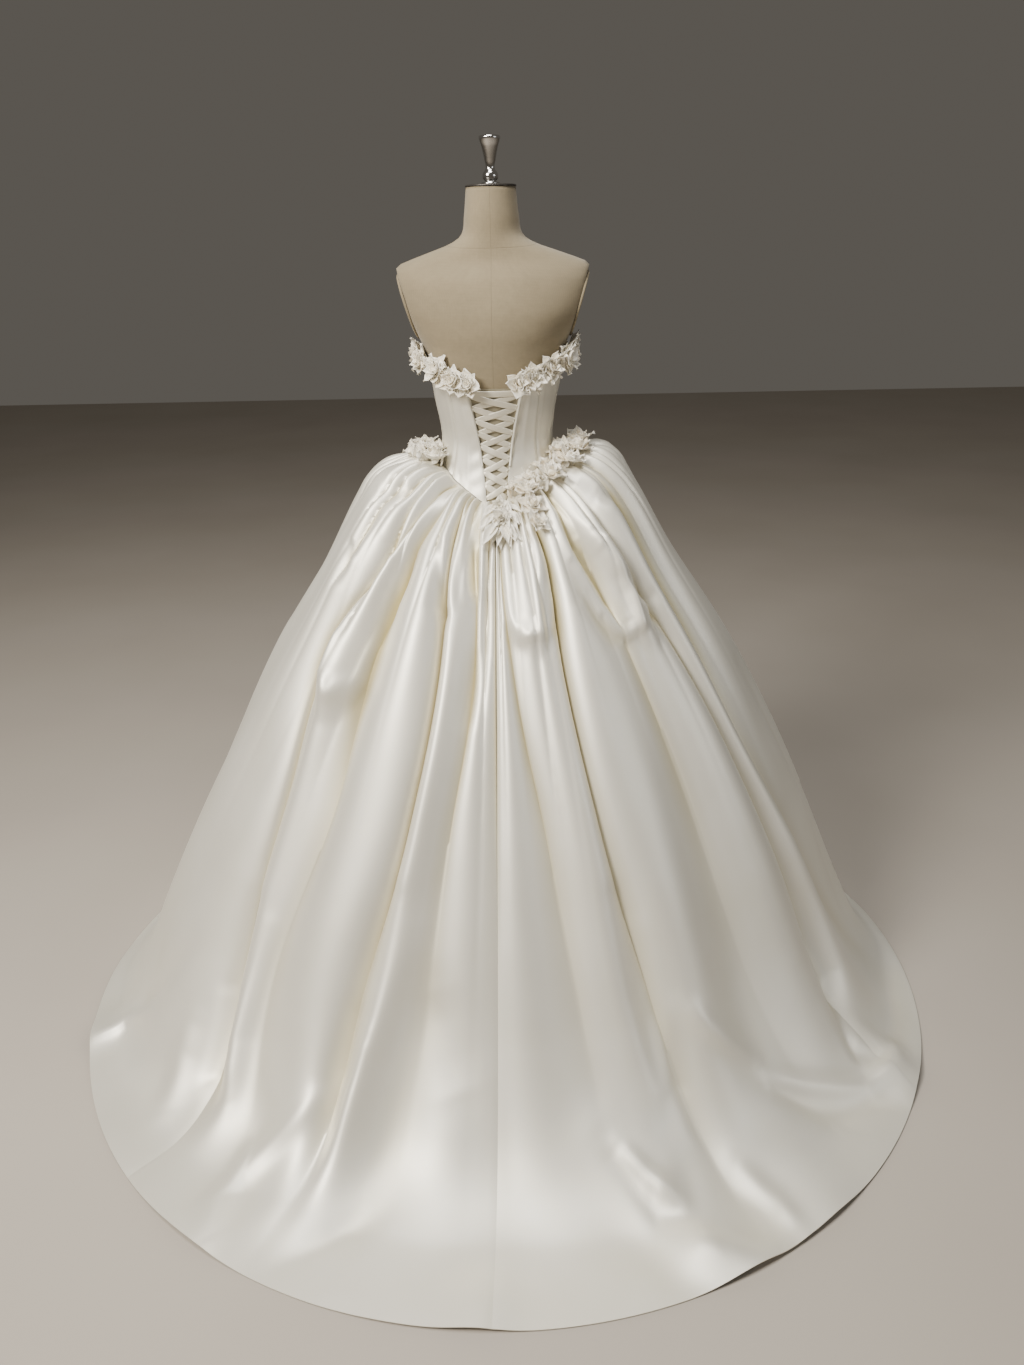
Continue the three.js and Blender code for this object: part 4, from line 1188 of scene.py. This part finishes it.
CREASES = [
    # Upper left, by the first roll of the side
    Crease(8, 26, ((61, 0.02), (70, 0.13), (100, 0.24))),
    Crease(-9, 18, ((48, 0.065), (57.5, 0.145), (67, 0.195))),
    Crease(-14, 15, ((57.5, 0.15), (62, 0.30), (60.5, 0.34))),
    Crease(-13, 15, ((46, 0.105), (48.5, 0.26), (51, 0.38))),
    Crease(7, 13, ((44.5, 0.15), (49, 0.275), (51, 0.375), (49, 0.43), (45, 0.445), (41, 0.42), (40, 0.36))),
    Crease(-7, 22, ((43, 0.22), (46, 0.32), (45.5, 0.40))),
    Crease(-12, 16, ((38.5, 0.255), (40.5, 0.32), (40, 0.375))),
    # Upper back, left of the point
    Crease(8, 13, ((25.5, 0.155), (16.5, 0.30))),
    Crease(-11, 13, ((26, 0.21), (20.5, 0.31), (19, 0.325))),
    Crease(7, 11, ((17, 0.135), (10, 0.29))),
    Crease(7, 11, ((10, 0.165), (4.5, 0.28))),
    Crease(-9, 11, ((11, 0.195), (8.5, 0.28))),
    Crease(-10, 18, ((2, 0.245), (5, 0.36), (7.5, 0.43))),
    # Upper back, right of the point
    Crease(7, 13, ((-1, 0.20), (-2, 0.27), (-5, 0.32), (-9, 0.345), (-14, 0.345), (-16, 0.31), (-19, 0.215))),
    Crease(-7, 24, ((-11, 0.2), (-10, 0.26), (-10, 0.315))),
    Crease(-9, 14, ((-20, 0.265), (-18, 0.34))),
    Crease(9, 10, ((-31, 0.12), (-34.5, 0.26), (-39, 0.35), (-43, 0.385),
                   (-47, 0.385), (-48.5, 0.345), (-42, 0.24), (-38, 0.16))),
    Crease(-9, 17, ((-35, 0.17), (-39, 0.27), (-44.5, 0.36))),
    Crease(-8, 18, ((-29, 0.22), (-33, 0.32), (-38, 0.38))),
    Crease(9, 14, ((-37, 0.17), (-46, 0.27), (-53, 0.35))),
    Crease(-9, 12, ((-47.5, 0.325), (-56, 0.37), (-51, 0.395))),
    Crease(8, 26, ((-78, 0.105), (-95, 0.18), (-94, 0.24))),
    Crease(-9, 16, ((-53, 0.145), (-57, 0.20), (-62, 0.235))),
    # Lower left and the train
    Crease(11, 15, ((62.5, 0.98), (62.5, 0.895), (59, 0.82))),
    Crease(-12, 24, ((47, 0.66), (45, 0.735), (41.5, 0.815), (38, 0.845))),
    Crease(8, 22, ((42, 0.67), (39.5, 0.775), (37, 0.84))),
    Crease(-12, 24, ((18.5, 0.61), (21.5, 0.71), (22.5, 0.775), (21.5, 0.915))),
    Crease(8, 22, ((14.5, 0.63), (18.5, 0.735), (19.5, 0.795), (20, 0.865))),
    Crease(9, 22, ((23, 0.78), (30, 0.885), (30, 0.94), (27.5, 0.985))),
    Crease(-7, 24, ((21, 0.995), (16.5, 0.95), (13.5, 0.90))),
    Crease(-8, 40, ((10.5, 0.68), (5, 0.765))),
    Crease(7, 26, ((49, 0.785), (48, 0.825), (44.5, 0.90))),
    Crease(-8, 28, ((55.5, 0.725), (59.5, 0.79), (64.5, 0.905))),
    # Lower right and the train
    Crease(-12, 24, ((-22, 0.615), (-23, 0.705), (-24, 0.785), (-21, 0.89))),
    Crease(8, 22, ((-25, 0.645), (-26, 0.72), (-23, 0.825), (-20, 0.89))),
    Crease(9, 20, ((-29, 0.715), (-32, 0.745), (-38, 0.795))),
    Crease(10, 16, ((-15, 0.83), (-17.5, 0.87), (-20, 0.90))),
    Crease(-9, 18, ((-14.5, 0.84), (-17.5, 0.905), (-22.5, 0.95), (-26.5, 0.98))),
    Crease(-11, 24, ((-61.5, 0.705), (-60, 0.785), (-54.5, 0.855))),
    Crease(12, 18, ((-58, 0.875), (-58.5, 0.94), (-56.5, 0.955), (-50.5, 0.92), (-39.5, 0.82))),
    Crease(-9, 16, ((-54.5, 0.855), (-53.5, 0.885), (-56, 0.93))),
    Crease(-8, 22, ((-38, 0.83), (-43, 0.90), (-50, 0.995))),
    Crease(8, 20, ((-28, 0.885), (-29.5, 0.945), (-29.5, 0.985))),
    # Sides and front, which the photo hides
    Crease(-11, 18, ((84, 0.10), (82, 0.28), (80, 0.42))),
    Crease(8, 18, ((88, 0.16), (90, 0.33), (87, 0.47))),
    Crease(-9, 24, ((76, 0.55), (78, 0.70), (83, 0.82))),
    Crease(-12, 16, ((105, 0.08), (108, 0.22), (106, 0.36))),
    Crease(8, 16, ((124, 0.14), (122, 0.29), (126, 0.40))),
    Crease(-11, 16, ((129, 0.10), (127, 0.25), (130, 0.33))),
    Crease(-10, 22, ((120, 0.50), (117, 0.66), (121, 0.84))),
    Crease(9, 20, ((147, 0.60), (150, 0.76), (146, 0.93))),
    Crease(-12, 15, ((150, 0.09), (152, 0.24), (149, 0.37))),
    Crease(8, 15, ((171, 0.12), (169, 0.30))),
    Crease(-11, 17, ((176, 0.18), (174, 0.34), (177, 0.44))),
    Crease(-10, 22, ((168, 0.56), (170, 0.71), (165, 0.88))),
    Crease(8, 16, ((195, 0.10), (192, 0.27), (196, 0.39))),
    Crease(-12, 15, ((209, 0.08), (212, 0.23), (208, 0.35))),
    Crease(9, 22, ((207, 0.58), (210, 0.75), (206, 0.90))),
    Crease(-10, 22, ((231, 0.52), (228, 0.69), (233, 0.83))),
    Crease(-11, 16, ((236, 0.11), (233, 0.26), (237, 0.40))),
    Crease(8, 16, ((252, 0.13), (255, 0.31))),
    Crease(-11, 18, ((259, 0.20), (257, 0.36), (261, 0.47))),
    Crease(-9, 24, ((279, 0.50), (276, 0.66), (281, 0.80))),
]


@dataclass
class Skirt:
    """Five gores of gathered satin that spread into a train."""

    rows: int = 210
    front_columns: int = 26
    back_columns: int = 40
    thick: float = 1.4
    droop_swell: float = 0.11
    droop_drop: float = 0.035
    droop_bow: float = 0.045
    roll_power: float = 0.68

    def columns(self) -> tuple[Array, Array]:
        """Fold number and place across it for every column."""
        fold, across = [], []
        for k, one in enumerate(FOLDS):
            low, high = one.valley[3], (FOLDS[k + 1].valley[3] if k + 1 < len(FOLDS) else 360)
            near_back = self.back_columns if one.gore != "front" else self.front_columns
            count = max(16, round(near_back * (high - low) / (18 if one.gore != "front" else 22)))
            fold += [k] * count
            across += list(np.arange(count) / count)
        return np.array(fold), np.array(across)

    @staticmethod
    def round_mix(angle: Array, s: Array, kind: str) -> Array:
        """Radius (R) or height (Z) of the plain cone of the skirt."""
        across, along = np.sin(np.radians(angle)), np.cos(np.radians(angle))
        sides = ("back", "left", "right", "front")
        back, left, right, front = (SKIRT.at("s", name + kind, s) for name in sides)
        side = (left + right) / 2
        lean = (left - right) / 2 * across + (back - front) / 2 * along
        return side + lean + ((back + front) / 2 - side) * along**2

    def valley(self, angle: Array, s: Array) -> tuple[Array, Array]:
        """Radius and height of the surface that the rolls stand on."""
        height = waist(angle) + 1
        reach = np.linalg.norm(form_point(angle, height, SKIRT_EDGE)[..., :2], axis=-1)
        hold = 1 - smooth(0, 0.2, s)
        start = 0 * s
        radius = self.round_mix(angle, s, "R") + (reach - self.round_mix(angle, start, "R")) * hold
        z = self.round_mix(angle, s, "Z") + (height - self.round_mix(angle, start, "Z")) * hold
        return radius, z

    def outward(self, angle: Array, s: Array) -> tuple[Array, Array]:
        """Radial and vertical parts of the outward direction."""
        r1, z1 = self.valley(angle, np.minimum(s + 0.01, 1))
        r0, z0 = self.valley(angle, np.maximum(s - 0.01, 0))
        size = np.hypot(r1 - r0, z1 - z0)
        return -(z1 - z0) / size, (r1 - r0) / size

    def rolls(self, fold: Array, t: Array, s: Array) -> tuple[Array, Array]:
        """Angle, and distance out of the valley surface, of the main rolls.

        Args:
            fold: fold number of every column.
            t: place across the fold of every column.
            s: place between waist and hem of every row.

        Returns:
            Two grids.
        """
        angle = np.zeros((len(s), len(t)))
        out = np.zeros_like(angle)
        for k, one in enumerate(FOLDS):
            own = fold == k
            after = FOLDS[(k + 1) % len(FOLDS)]
            wrap = 360 if k + 1 == len(FOLDS) else 0
            low = between(STATIONS, np.array(one.valley[:1] + one.valley, float), s)
            high = between(STATIONS, np.array(after.valley[:1] + after.valley, float), s) + wrap
            height = between(STATIONS, np.array((0,) + one.height, float), s)
            across = t[own]
            power = self.roll_power + 0.9 * smooth(0.5, 0.85, s)[:, None]
            bulge = np.sin(np.pi * across ** (math.log(0.5) / math.log(one.crest))) ** power
            angle[:, own] = low[:, None] + (high - low)[:, None] * across
            rise = (height * (1 - 0.7 * smooth(0.8, 0.95, s)))[:, None] * bulge
            if one.lip:
                beyond = s[:, None] - one.lip_at + self.droop_bow * (2 * across - 1) ** 2
                above = np.exp(-((beyond / self.droop_swell) ** 2))
                below = 1 - smooth(0, self.droop_drop, beyond)
                rise = rise + one.lip * bulge * np.where(beyond < 0, above, below)
            out[:, own] = rise
        return angle, out

    @staticmethod
    def gathers(angle: Array, s: Array) -> Array:
        """Small pleats under the waist seam, uneven in width, depth and length."""
        a = np.radians(angle)
        wave = 48 * a + 2.4 * np.sin(5 * a + 0.4) + 1.6 * np.sin(11 * a + 2.0) + 1.1 * np.sin(23 * a)
        depth = 15.0 + 4.0 * np.sin(9 * a + 1.1) + 3.4 * np.sin(17 * a + 0.5)
        length = 0.28 + 0.08 * np.sin(7 * a + 2.2) + 0.06 * np.sin(19 * a)
        puff = np.abs(np.sin(wave / 2)) ** 0.7 - 0.35
        small = np.abs(np.sin(53 * a + 2 * np.sin(13 * a))) - 0.5
        long = depth * puff * np.exp(-((s / length) ** 1.7))
        short = 3.0 * small * np.exp(-((s / 0.07) ** 2))
        return smooth(0.0, 0.03, s) * (long + short)

    @staticmethod
    def unevenness(angle: Array, s: Array) -> Array:
        """Slow hollows and swellings of loose cloth."""
        a = np.radians(angle)
        slow = 4.0 * np.sin(9 * a + 6 * s) * np.sin(8 * s + 2 * a) + 2.4 * np.sin(21 * a - 9 * s + 1.0)
        return slow * smooth(0.05, 0.3, s) * (1 - 0.5 * smooth(0.8, 1.0, s))

    @staticmethod
    def creased(angle: Array, s: Array, reach: Array, length: Array) -> Array:
        """Ridges and troughs of every crease.

        Args:
            angle: grid of angles.
            s: grid of places between waist and hem.
            reach: grid of radii.
            length: grid of lengths down from the waist.

        Returns:
            Grid of distances out.
        """
        rows = s[:, 0]
        down = length[:, 0]
        total = np.zeros_like(angle)
        for crease in CREASES:
            spots = np.array(crease.line, float)
            steps = np.linspace(0, 1, len(spots))
            best = np.zeros_like(angle)
            for (a0, s0), (a1, s1), w0, w1 in zip(spots[:-1], spots[1:], steps[:-1], steps[1:]):
                middle = np.interp((s0 + s1) / 2, rows, reach[:, 0])
                x = np.radians(turned(angle - a0)) * reach
                y = length - np.interp(s0, rows, down)
                dx, dy = np.radians(a1 - a0) * middle, np.interp(s1, rows, down) - np.interp(s0, rows, down)
                share = np.clip((x * dx + y * dy) / (dx * dx + dy * dy), 0, 1)
                gone = np.hypot(x - share * dx, y - share * dy) / crease.width
                place = w0 + (w1 - w0) * share
                fade = np.sqrt(np.clip(smooth(-0.1, 0.35, place) * smooth(-0.1, 0.35, 1 - place), 0, 1))
                best = np.maximum(best, np.exp(-(gone**2)) * fade)
            total += crease.rise * best
        return total

    def surface(self) -> tuple[Array, Array]:
        """Every point of the skirt's outside, and each column's fold."""
        fold, across = self.columns()
        s = np.linspace(0, 1, self.rows)
        angle, out = self.rolls(fold, across, s)
        down = np.repeat(s[:, None], angle.shape[1], 1)
        radius, z = self.valley(angle, down)
        steps = np.hypot(np.diff(radius, axis=0), np.diff(z, axis=0))
        length = np.repeat(np.pad(steps.mean(1).cumsum(), (1, 0))[:, None], angle.shape[1], 1)
        detail = self.creased(angle, down, radius, length) + self.unevenness(angle, down)
        out = out + detail * smooth(0, 0.05, down) + self.gathers(angle, down)
        side, up = self.outward(angle, down)
        radius = radius + side * out - 1.5 * (1 - smooth(0, 0.02, down))
        x, y = radius * np.sin(np.radians(angle)), radius * np.cos(np.radians(angle))
        lift = np.zeros_like(x)
        for row in RIPPLES.records():
            dx, dy = row["x1"] - row["x0"], row["y1"] - row["y0"]
            share = np.clip(((x - row["x0"]) * dx + (y - row["y0"]) * dy) / (dx * dx + dy * dy), 0, 1)
            gone = np.hypot(x - row["x0"] - share * dx, y - row["y0"] - share * dy) / row["width"]
            lift += row["height"] * np.exp(-(gone**2))
        floor = z + up * out + lift * (1 - smooth(20, 200, z))
        soft = WALL + 3 * np.logaddexp(0, (floor - WALL) / 3) - 3 * math.log(2)
        return np.stack([x, y, np.maximum(soft, WALL)], -1), fold

    @staticmethod
    def hollows(points: Array) -> Array:
        """How deep each point lies under the cloth round it, from 0 to 1; the satin paints shade into its
        folds by it.
        """
        reach = range(-14, 15, 2)
        mean = sum(np.roll(points, k, 1) for k in reach) / len(reach)
        deep = ((mean - points) * grid_normals(points, wrap=True)).sum(-1)
        down = np.linspace(0, 1, len(points))[:, None]
        return np.clip(deep / (4 + 16 * down), 0, 1) * (1 - 0.6 * smooth(0.35, 0.7, down))

    def build(self) -> Array:
        """Builds the gores and returns the whole surface."""
        points, fold = self.surface()
        # Mask for the painted shade in the folds
        hollow = self.hollows(points)
        for gore in dict.fromkeys(one.gore for one in FOLDS):
            own = [j for j, k in enumerate(fold) if FOLDS[k].gore == gore]
            span = np.take(points, range(own[0], own[-1] + 2), 1, mode="wrap").copy()
            for j, step in ((0, 1), (-1, -1)):
                along = np.stack([span[:, j, 1], -span[:, j, 0], 0 * span[:, j, 0]], -1)
                span[:, j] += unit(along) * step * 0.01
                span[1:, j] -= grid_normals(span)[1:, j] * 0.6
            span[..., 2] = np.maximum(span[..., 2], WALL)
            # This gore's share of the painted shade mask
            deep = np.take(hollow, range(own[0], own[-1] + 2), 1, mode="wrap")
            piece = Mould.cloth(f"skirt_{gore}_satin", span, self.thick, deep)
            dress(piece, Slot.SATIN, f"skirt_{gore}")
        return points


class PetalKind(Enum):
    """Shapes of petal cloth."""

    BROAD = 0
    POINTED = 1
    LONG = 2


# Layers of one flower: petals, how far they open, length by radius, rise by radius and shape
LAYERS = (
    (6, 72, 1.4, 0.05, PetalKind.BROAD),
    (5, 46, 1.2, 0.10, PetalKind.POINTED),
    (2, 20, 0.9, 0.14, PetalKind.BROAD),
)
# Flowers of the upper edge: angle, distance under the edge, radius and upward tip
EDGE_FLOWERS = ((25, 6, 21, 20), (40, 8, 24, 15), (57, 6, 23, 25), (75, 7, 24, 15), (91, 9, 20, 5))
# Flowers at the waist: angle, place down the skirt, radius and distance out
RIGHT_FLOWERS = (
    (-16, 0.035, 20, 9), (-24, 0.075, 23, 9), (-31, 0.035, 22, 9), (-42, 0.08, 24, 9),
    (-49, 0.03, 22, 8), (-58, 0.085, 25, 8), (-68, 0.04, 23, 8), (-76, 0.085, 25, 8),
    (-91, 0.08, 26, 8), (-22, 0.125, 21, 11), (-22, 0.175, 20, 12),
)
LEFT_FLOWERS = (
    (61, 0.035, 23, 8), (71, 0.02, 22, 10), (80, 0.045, 24, 8), (89, 0.02, 23, 10), (97, 0.04, 24, 8),
)
# Sprays under the point: place down the skirt, petals, spread and length
POINT_SPRAYS = ((0.085, 9, 0.9, 36), (0.115, 11, 0.8, 42), (0.15, 11, 0.7, 44))
POINT_BLOOMS = ((-3, 0.085, 15), (-4, 0.13, 17))


@dataclass
class Garlands:
    """Flowers of petal cloth along the upper edge, at the waist and under the point."""

    points: Array
    seed: int = 7

    def __post_init__(self) -> None:
        """Starts the fixed run of chances."""
        self.chance = np.random.default_rng(self.seed)

    @staticmethod
    def shape(kind: PetalKind) -> Piece:
        """One petal of length 1 mm along y, with its face up."""
        half, tip, curl, cup, ruffle = {
            PetalKind.BROAD: (0.41, 0.62, 0.10, 0.16, 0.10),
            PetalKind.POINTED: (0.35, 0.8, 0.12, 0.18, 0.07),
            PetalKind.LONG: (0.19, 0.85, -0.10, 0.16, 0.04)}[kind]
        y = np.linspace(0.0, 1, 9)[:, None]
        w = np.linspace(-1, 1, 7)[None, :]
        wide = half * (0.16 + 0.84 * np.sin(np.pi * np.clip(y, 0, 1) ** 0.75) ** 0.8) * (1 - y**4) ** tip
        x = w * np.maximum(wide, 0.012)
        z = curl * y**2 + cup * w**2 * wide / half + ruffle * np.sin(9 * y + 2 * w) * np.abs(w) * y
        grid = np.stack([x, y + 0 * w, z], -1)[::-1]
        rows, columns = grid.shape[:2]
        return Mould.mesh(f"petal_{kind.name.lower()}", grid, Mould.quads(rows, columns))

    @staticmethod
    def turn(ahead: Vector, face: Vector) -> tuple[float, float, float]:
        """Euler angles that point a petal ahead with its face one way."""
        y = ahead.normalized()
        x = y.cross(face).normalized()
        z = x.cross(y)
        return tuple(Matrix((x, y, z)).transposed().to_euler())

    def bloom(self, base: Array, axis: Array, radius: float, tint: float) -> list[tuple]:
        """Petals of one flower.

        Args:
            base: the flower's foot.
            axis: the way it faces.
            radius: its radius.
            tint: how strongly it is tinted.

        Returns:
            Place, turn, size, kind and tint of each petal.
        """
        up = Vector(axis).normalized()
        side = Vector((0, 0, 1)).cross(up)
        side = side.normalized() if side.length > 0.001 else Vector((1, 0, 0))
        other = up.cross(side)
        rows = []
        for count, open_by, size, lift, kind in LAYERS:
            first = self.chance.uniform(0, 2 * math.pi)
            for k in range(count):
                turn = first + 2 * math.pi * (k + self.chance.uniform(-0.22, 0.22)) / count
                lean = math.radians(open_by + self.chance.uniform(-12, 12))
                away = side * math.cos(turn) + other * math.sin(turn)
                ahead = up * math.cos(lean) + away * math.sin(lean)
                face = up * math.sin(lean) - away * math.cos(lean)
                place = Vector(base) + up * lift * radius + away * 0.05 * radius
                long = radius * size * self.chance.uniform(0.85, 1.12)
                stretch = (long * self.chance.uniform(0.85, 1.2), long, long * self.chance.uniform(0.7, 1.4))
                shade = tint * self.chance.uniform(0.2, 1.2)
                rows.append((place, self.turn(ahead, face), stretch, kind.value, shade))
        return rows

    def single(self, base: Array, ahead: Array, face: Array, size: float, kind: PetalKind,
               tint: float) -> tuple:
        """One petal on its own.

        Args:
            base: the petal's foot.
            ahead: the way it points.
            face: the way its face looks.
            size: its length.
            kind: its shape.
            tint: how strongly it is tinted.

        Returns:
            Its place, turn, size, kind and tint.
        """
        stretch = (size * self.chance.uniform(0.9, 1.3), size, size * self.chance.uniform(0.8, 1.5))
        return Vector(base), self.turn(Vector(ahead), Vector(face)), stretch, kind.value, tint

    def gather(self, name: str, rows: list[tuple], node: str) -> None:
        """Makes one garland from its petals."""
        shapes = [self.shape(kind) for kind in PetalKind]
        places, turns, sizes, kinds, tints = (np.array([row[i] for row in rows], float) for i in range(5))
        piece = Scatter(name, shapes).place(places, turns, sizes, kinds.astype(int), tints, Finishes.petal)
        wall = piece.modifiers.new("thickness", "SOLIDIFY")
        wall.thickness = 0.2 * MM
        dress(piece, Slot.PETAL, node)

    def neckline(self, side: int) -> None:
        """The ruffled band along one half of the back's upper edge."""
        rows = []
        for angle, drop, radius, tip in EDGE_FLOWERS:
            z = float(neckline(angle)) - drop
            base = form_point(side * angle, z, NECK_STRIP_OUT)
            out = unit((base - form_point(side * angle, z, 0)))
            axis = out * math.cos(math.radians(tip)) + np.array([0, 0, math.sin(math.radians(tip))])
            rows += self.bloom(base + axis * 2, axis, radius * 0.95, 0.35)
        for k in range(60):
            angle = 26 + 72 * (k + self.chance.uniform(-0.4, 0.4)) / 59
            z = float(neckline(angle)) - self.chance.uniform(-2, 14)
            base = form_point(side * angle, z, NECK_STRIP_OUT - 1)
            out = unit(base - form_point(side * angle, z, 0))
            round_way = np.array([out[1], -out[0], 0]) * self.chance.uniform(-0.8, 0.8)
            push = out * self.chance.uniform(0.35, 0.9)
            ahead = push + np.array([0, 0, self.chance.choice([1.0, 0.8, -0.7])]) + round_way
            kind = PetalKind.BROAD if k % 3 else PetalKind.POINTED
            size = self.chance.uniform(22, 32)
            rows.append(self.single(base, ahead, out, size, kind, self.chance.uniform(0, 0.5)))
        name = "left" if side > 0 else "right"
        self.gather(f"neckline_petals_{name}", rows, f"neckline_flowers_{name}")

    def skirt_spot(self, angle: float, s: float) -> tuple[Array, Array, Array]:
        """Place, outward direction and way down on the skirt."""
        i = round(s * (len(self.points) - 1))
        round_angle = np.degrees(np.arctan2(self.points[i, :, 0], self.points[i, :, 1]))
        j = int(np.argmin(np.abs(turned(round_angle - angle))))
        down = unit(self.points[i + 8, j] - self.points[max(i - 4, 0), j])
        face = np.cross(unit(np.cross([0, 0, 1.0], down)), down)
        return self.points[i, j], face if face[2] > 0 else -face, down

    def waist_cluster(self, name: str, node: str, flowers: Sequence[tuple], tint: float,
                      fill: Sequence[Spot]) -> None:
        """Flowers and loose petals along the waist.

        Args:
            name: the piece's name.
            node: the node that it stands for.
            flowers: angle, place down the skirt, radius and distance out of each flower.
            tint: how strongly the petals are tinted.
            fill: angle and place down the skirt of each loose petal.
        """
        rows = []
        for angle, s, radius, stand in flowers:
            spot, normal, _ = self.skirt_spot(angle, s)
            axis = unit(normal + np.array([0, 0, 0.25]))
            rows += self.bloom(spot + axis * stand, axis, radius, tint)
        for angle, s in fill:
            spot, normal, _ = self.skirt_spot(angle, s)
            round_way = np.array([normal[1], -normal[0], 0]) * self.chance.uniform(-0.9, 0.9)
            push = normal * self.chance.uniform(0.5, 1.0)
            ahead = push + np.array([0, 0, self.chance.uniform(-0.5, 0.9)]) + round_way
            kind = PetalKind.POINTED if self.chance.uniform() < 0.7 else PetalKind.BROAD
            size = self.chance.uniform(19, 30)
            shade = tint * self.chance.uniform(0.2, 1.3)
            rows.append(self.single(spot + normal * 3, ahead, normal, size, kind, shade))
        self.gather(name, rows, node)

    def point_cluster(self) -> None:
        """Long petals that hang under the point of the bodice."""
        rows = []
        for s, count, spread, size in POINT_SPRAYS:
            for k in range(count):
                splay = spread * (2 * k / (count - 1) - 1)
                spot, normal, down = self.skirt_spot(-3.5 - 5 * splay + self.chance.uniform(-1, 1), s)
                ahead = down + np.cross(normal, down) * splay + normal * self.chance.uniform(0.05, 0.5)
                base = spot + normal * self.chance.uniform(8, 15)
                long = size * self.chance.uniform(0.8, 1.1)
                shade = self.chance.uniform(0, 0.2)
                rows.append(self.single(base, ahead, normal, long, PetalKind.LONG, shade))
        for angle, s, radius in POINT_BLOOMS:
            spot, normal, down = self.skirt_spot(angle, s)
            rows += self.bloom(spot + normal * 14, unit(normal + 0.5 * down), radius, 0.15)
        self.gather("point_petals", rows, "point_flowers")

    def build(self) -> None:
        """Builds every garland."""
        self.neckline(1)
        self.neckline(-1)
        fill_right = [(-14 - 80 * k / 60, 0.03 + 0.07 * ((k * 7) % 5) / 5) for k in range(60)]
        fill_left = [(60 + 40 * k / 34, 0.02 + 0.05 * ((k * 7) % 5) / 5) for k in range(34)]
        self.waist_cluster("waist_petals_right", "waist_flowers_right", RIGHT_FLOWERS, 0.5, fill_right)
        self.waist_cluster("waist_petals_left", "waist_flowers_left", LEFT_FLOWERS, 0.25, fill_left)
        self.point_cluster()


@dataclass(frozen=True)
class Lamp:
    """A soft square light: its place, aim and size in metres, its power in watts and its colour."""

    name: str
    place: tuple[float, float, float]
    aim: tuple[float, float, float]
    size: float
    power: float
    colour: tuple[float, float, float]

    def build(self) -> None:
        """Hangs the light."""
        data = bpy.data.lights.new(self.name, "AREA")
        data.size, data.energy, data.color = self.size, self.power, self.colour
        lamp = bpy.data.objects.new(self.name, data)
        bpy.context.scene.collection.objects.link(lamp)
        lamp.location = self.place
        way = Vector(self.aim) - Vector(self.place)
        lamp.rotation_euler = way.to_track_quat("-Z", "Y").to_euler()


LAMPS = (
    Lamp("key", (2.0, 2.1, 3.1), (0, 0.35, 0.5), 1.2, 195, (1.0, 0.945, 0.86)),
    Lamp("fill", (-3.2, 1.8, 2.2), (0, 0.2, 0.6), 1.6, 18, (0.95, 0.97, 1.0)),
    Lamp("top", (0.2, 0.9, 4.0), (0, 0.5, 0.3), 1.4, 85, (1.0, 0.98, 0.95)),
)


@dataclass
class Studio:
    """Pale floor, soft lights and the photo's point of view."""

    place: tuple[float, float, float] = (-0.0839, 2.07, 1.466)
    yaw: float = -1.83
    pitch: float = 22.8
    roll: float = -1.316
    lens: float = 27.69
    floor_half: float = 9.0
    floor_z: float = -0.001
    floor_deep: Colour = (0.40, 0.36, 0.31, 1)
    floor_light: Colour = (0.43, 0.39, 0.34, 1)
    room: Colour = (0.60, 0.55, 0.48, 1)
    room_strength: float = 0.18

    def floor(self) -> None:
        """A wide plain floor just under the hem."""
        data = bpy.data.meshes.new("floor")
        signs = ((-1, -1), (1, -1), (1, 1), (-1, 1))
        corners = [(x * self.floor_half, y * self.floor_half, self.floor_z) for x, y in signs]
        data.from_pydata(corners, [], [(0, 1, 2, 3)])
        floor = bpy.data.objects.new("floor", data)
        bpy.context.scene.collection.objects.link(floor)
        finish = Finish("floor")
        place = finish.make.add("ShaderNodeTexCoord").outputs["Object"]
        tone = finish.group(Groups.tone, {"Place": place, "Scale": 1.2}).outputs[0]
        colour = finish.make.mix(tone, self.floor_deep, self.floor_light)
        finish.set(Base_Color=colour, Roughness=0.9)
        data.materials.append(finish.material)

    def camera(self) -> None:
        """The photo's camera."""
        yaw, pitch, roll = (math.radians(v) for v in (self.yaw, self.pitch, self.roll))
        right = Vector((-math.cos(yaw), math.sin(yaw), 0))
        ahead = Vector((-math.sin(yaw) * math.cos(pitch), -math.cos(yaw) * math.cos(pitch), -math.sin(pitch)))
        up = right.cross(ahead)
        across = right * math.cos(roll) + up * math.sin(roll)
        above = up * math.cos(roll) - right * math.sin(roll)
        data = bpy.data.cameras.new("camera")
        data.lens, data.sensor_width, data.sensor_fit = self.lens, 36, "AUTO"
        data.dof.use_dof = False
        camera = bpy.data.objects.new("camera", data)
        bpy.context.scene.collection.objects.link(camera)
        turn = Matrix((across, above, -ahead)).transposed()
        camera.matrix_world = Matrix.Translation(self.place) @ turn.to_4x4()
        bpy.context.scene.camera = camera

    def build(self) -> None:
        """Sets up the studio."""
        self.floor()
        self.camera()
        for lamp in LAMPS:
            lamp.build()
        world = bpy.data.worlds.new("soft_room")
        world.use_nodes = True
        back = world.node_tree.nodes["Background"]
        back.inputs["Color"].default_value = self.room
        back.inputs["Strength"].default_value = self.room_strength
        bpy.context.scene.world = world


def main() -> None:
    """Builds the gown on its form and sets the studio round it."""
    logging.basicConfig(level=logging.INFO, format="%(message)s")
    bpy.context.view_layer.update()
    DressForm().build()
    Bodice().build()
    Lacing().build()
    points = Skirt().build()
    Garlands(points).build()
    Studio().build()


if __name__ == "__main__":
    main()
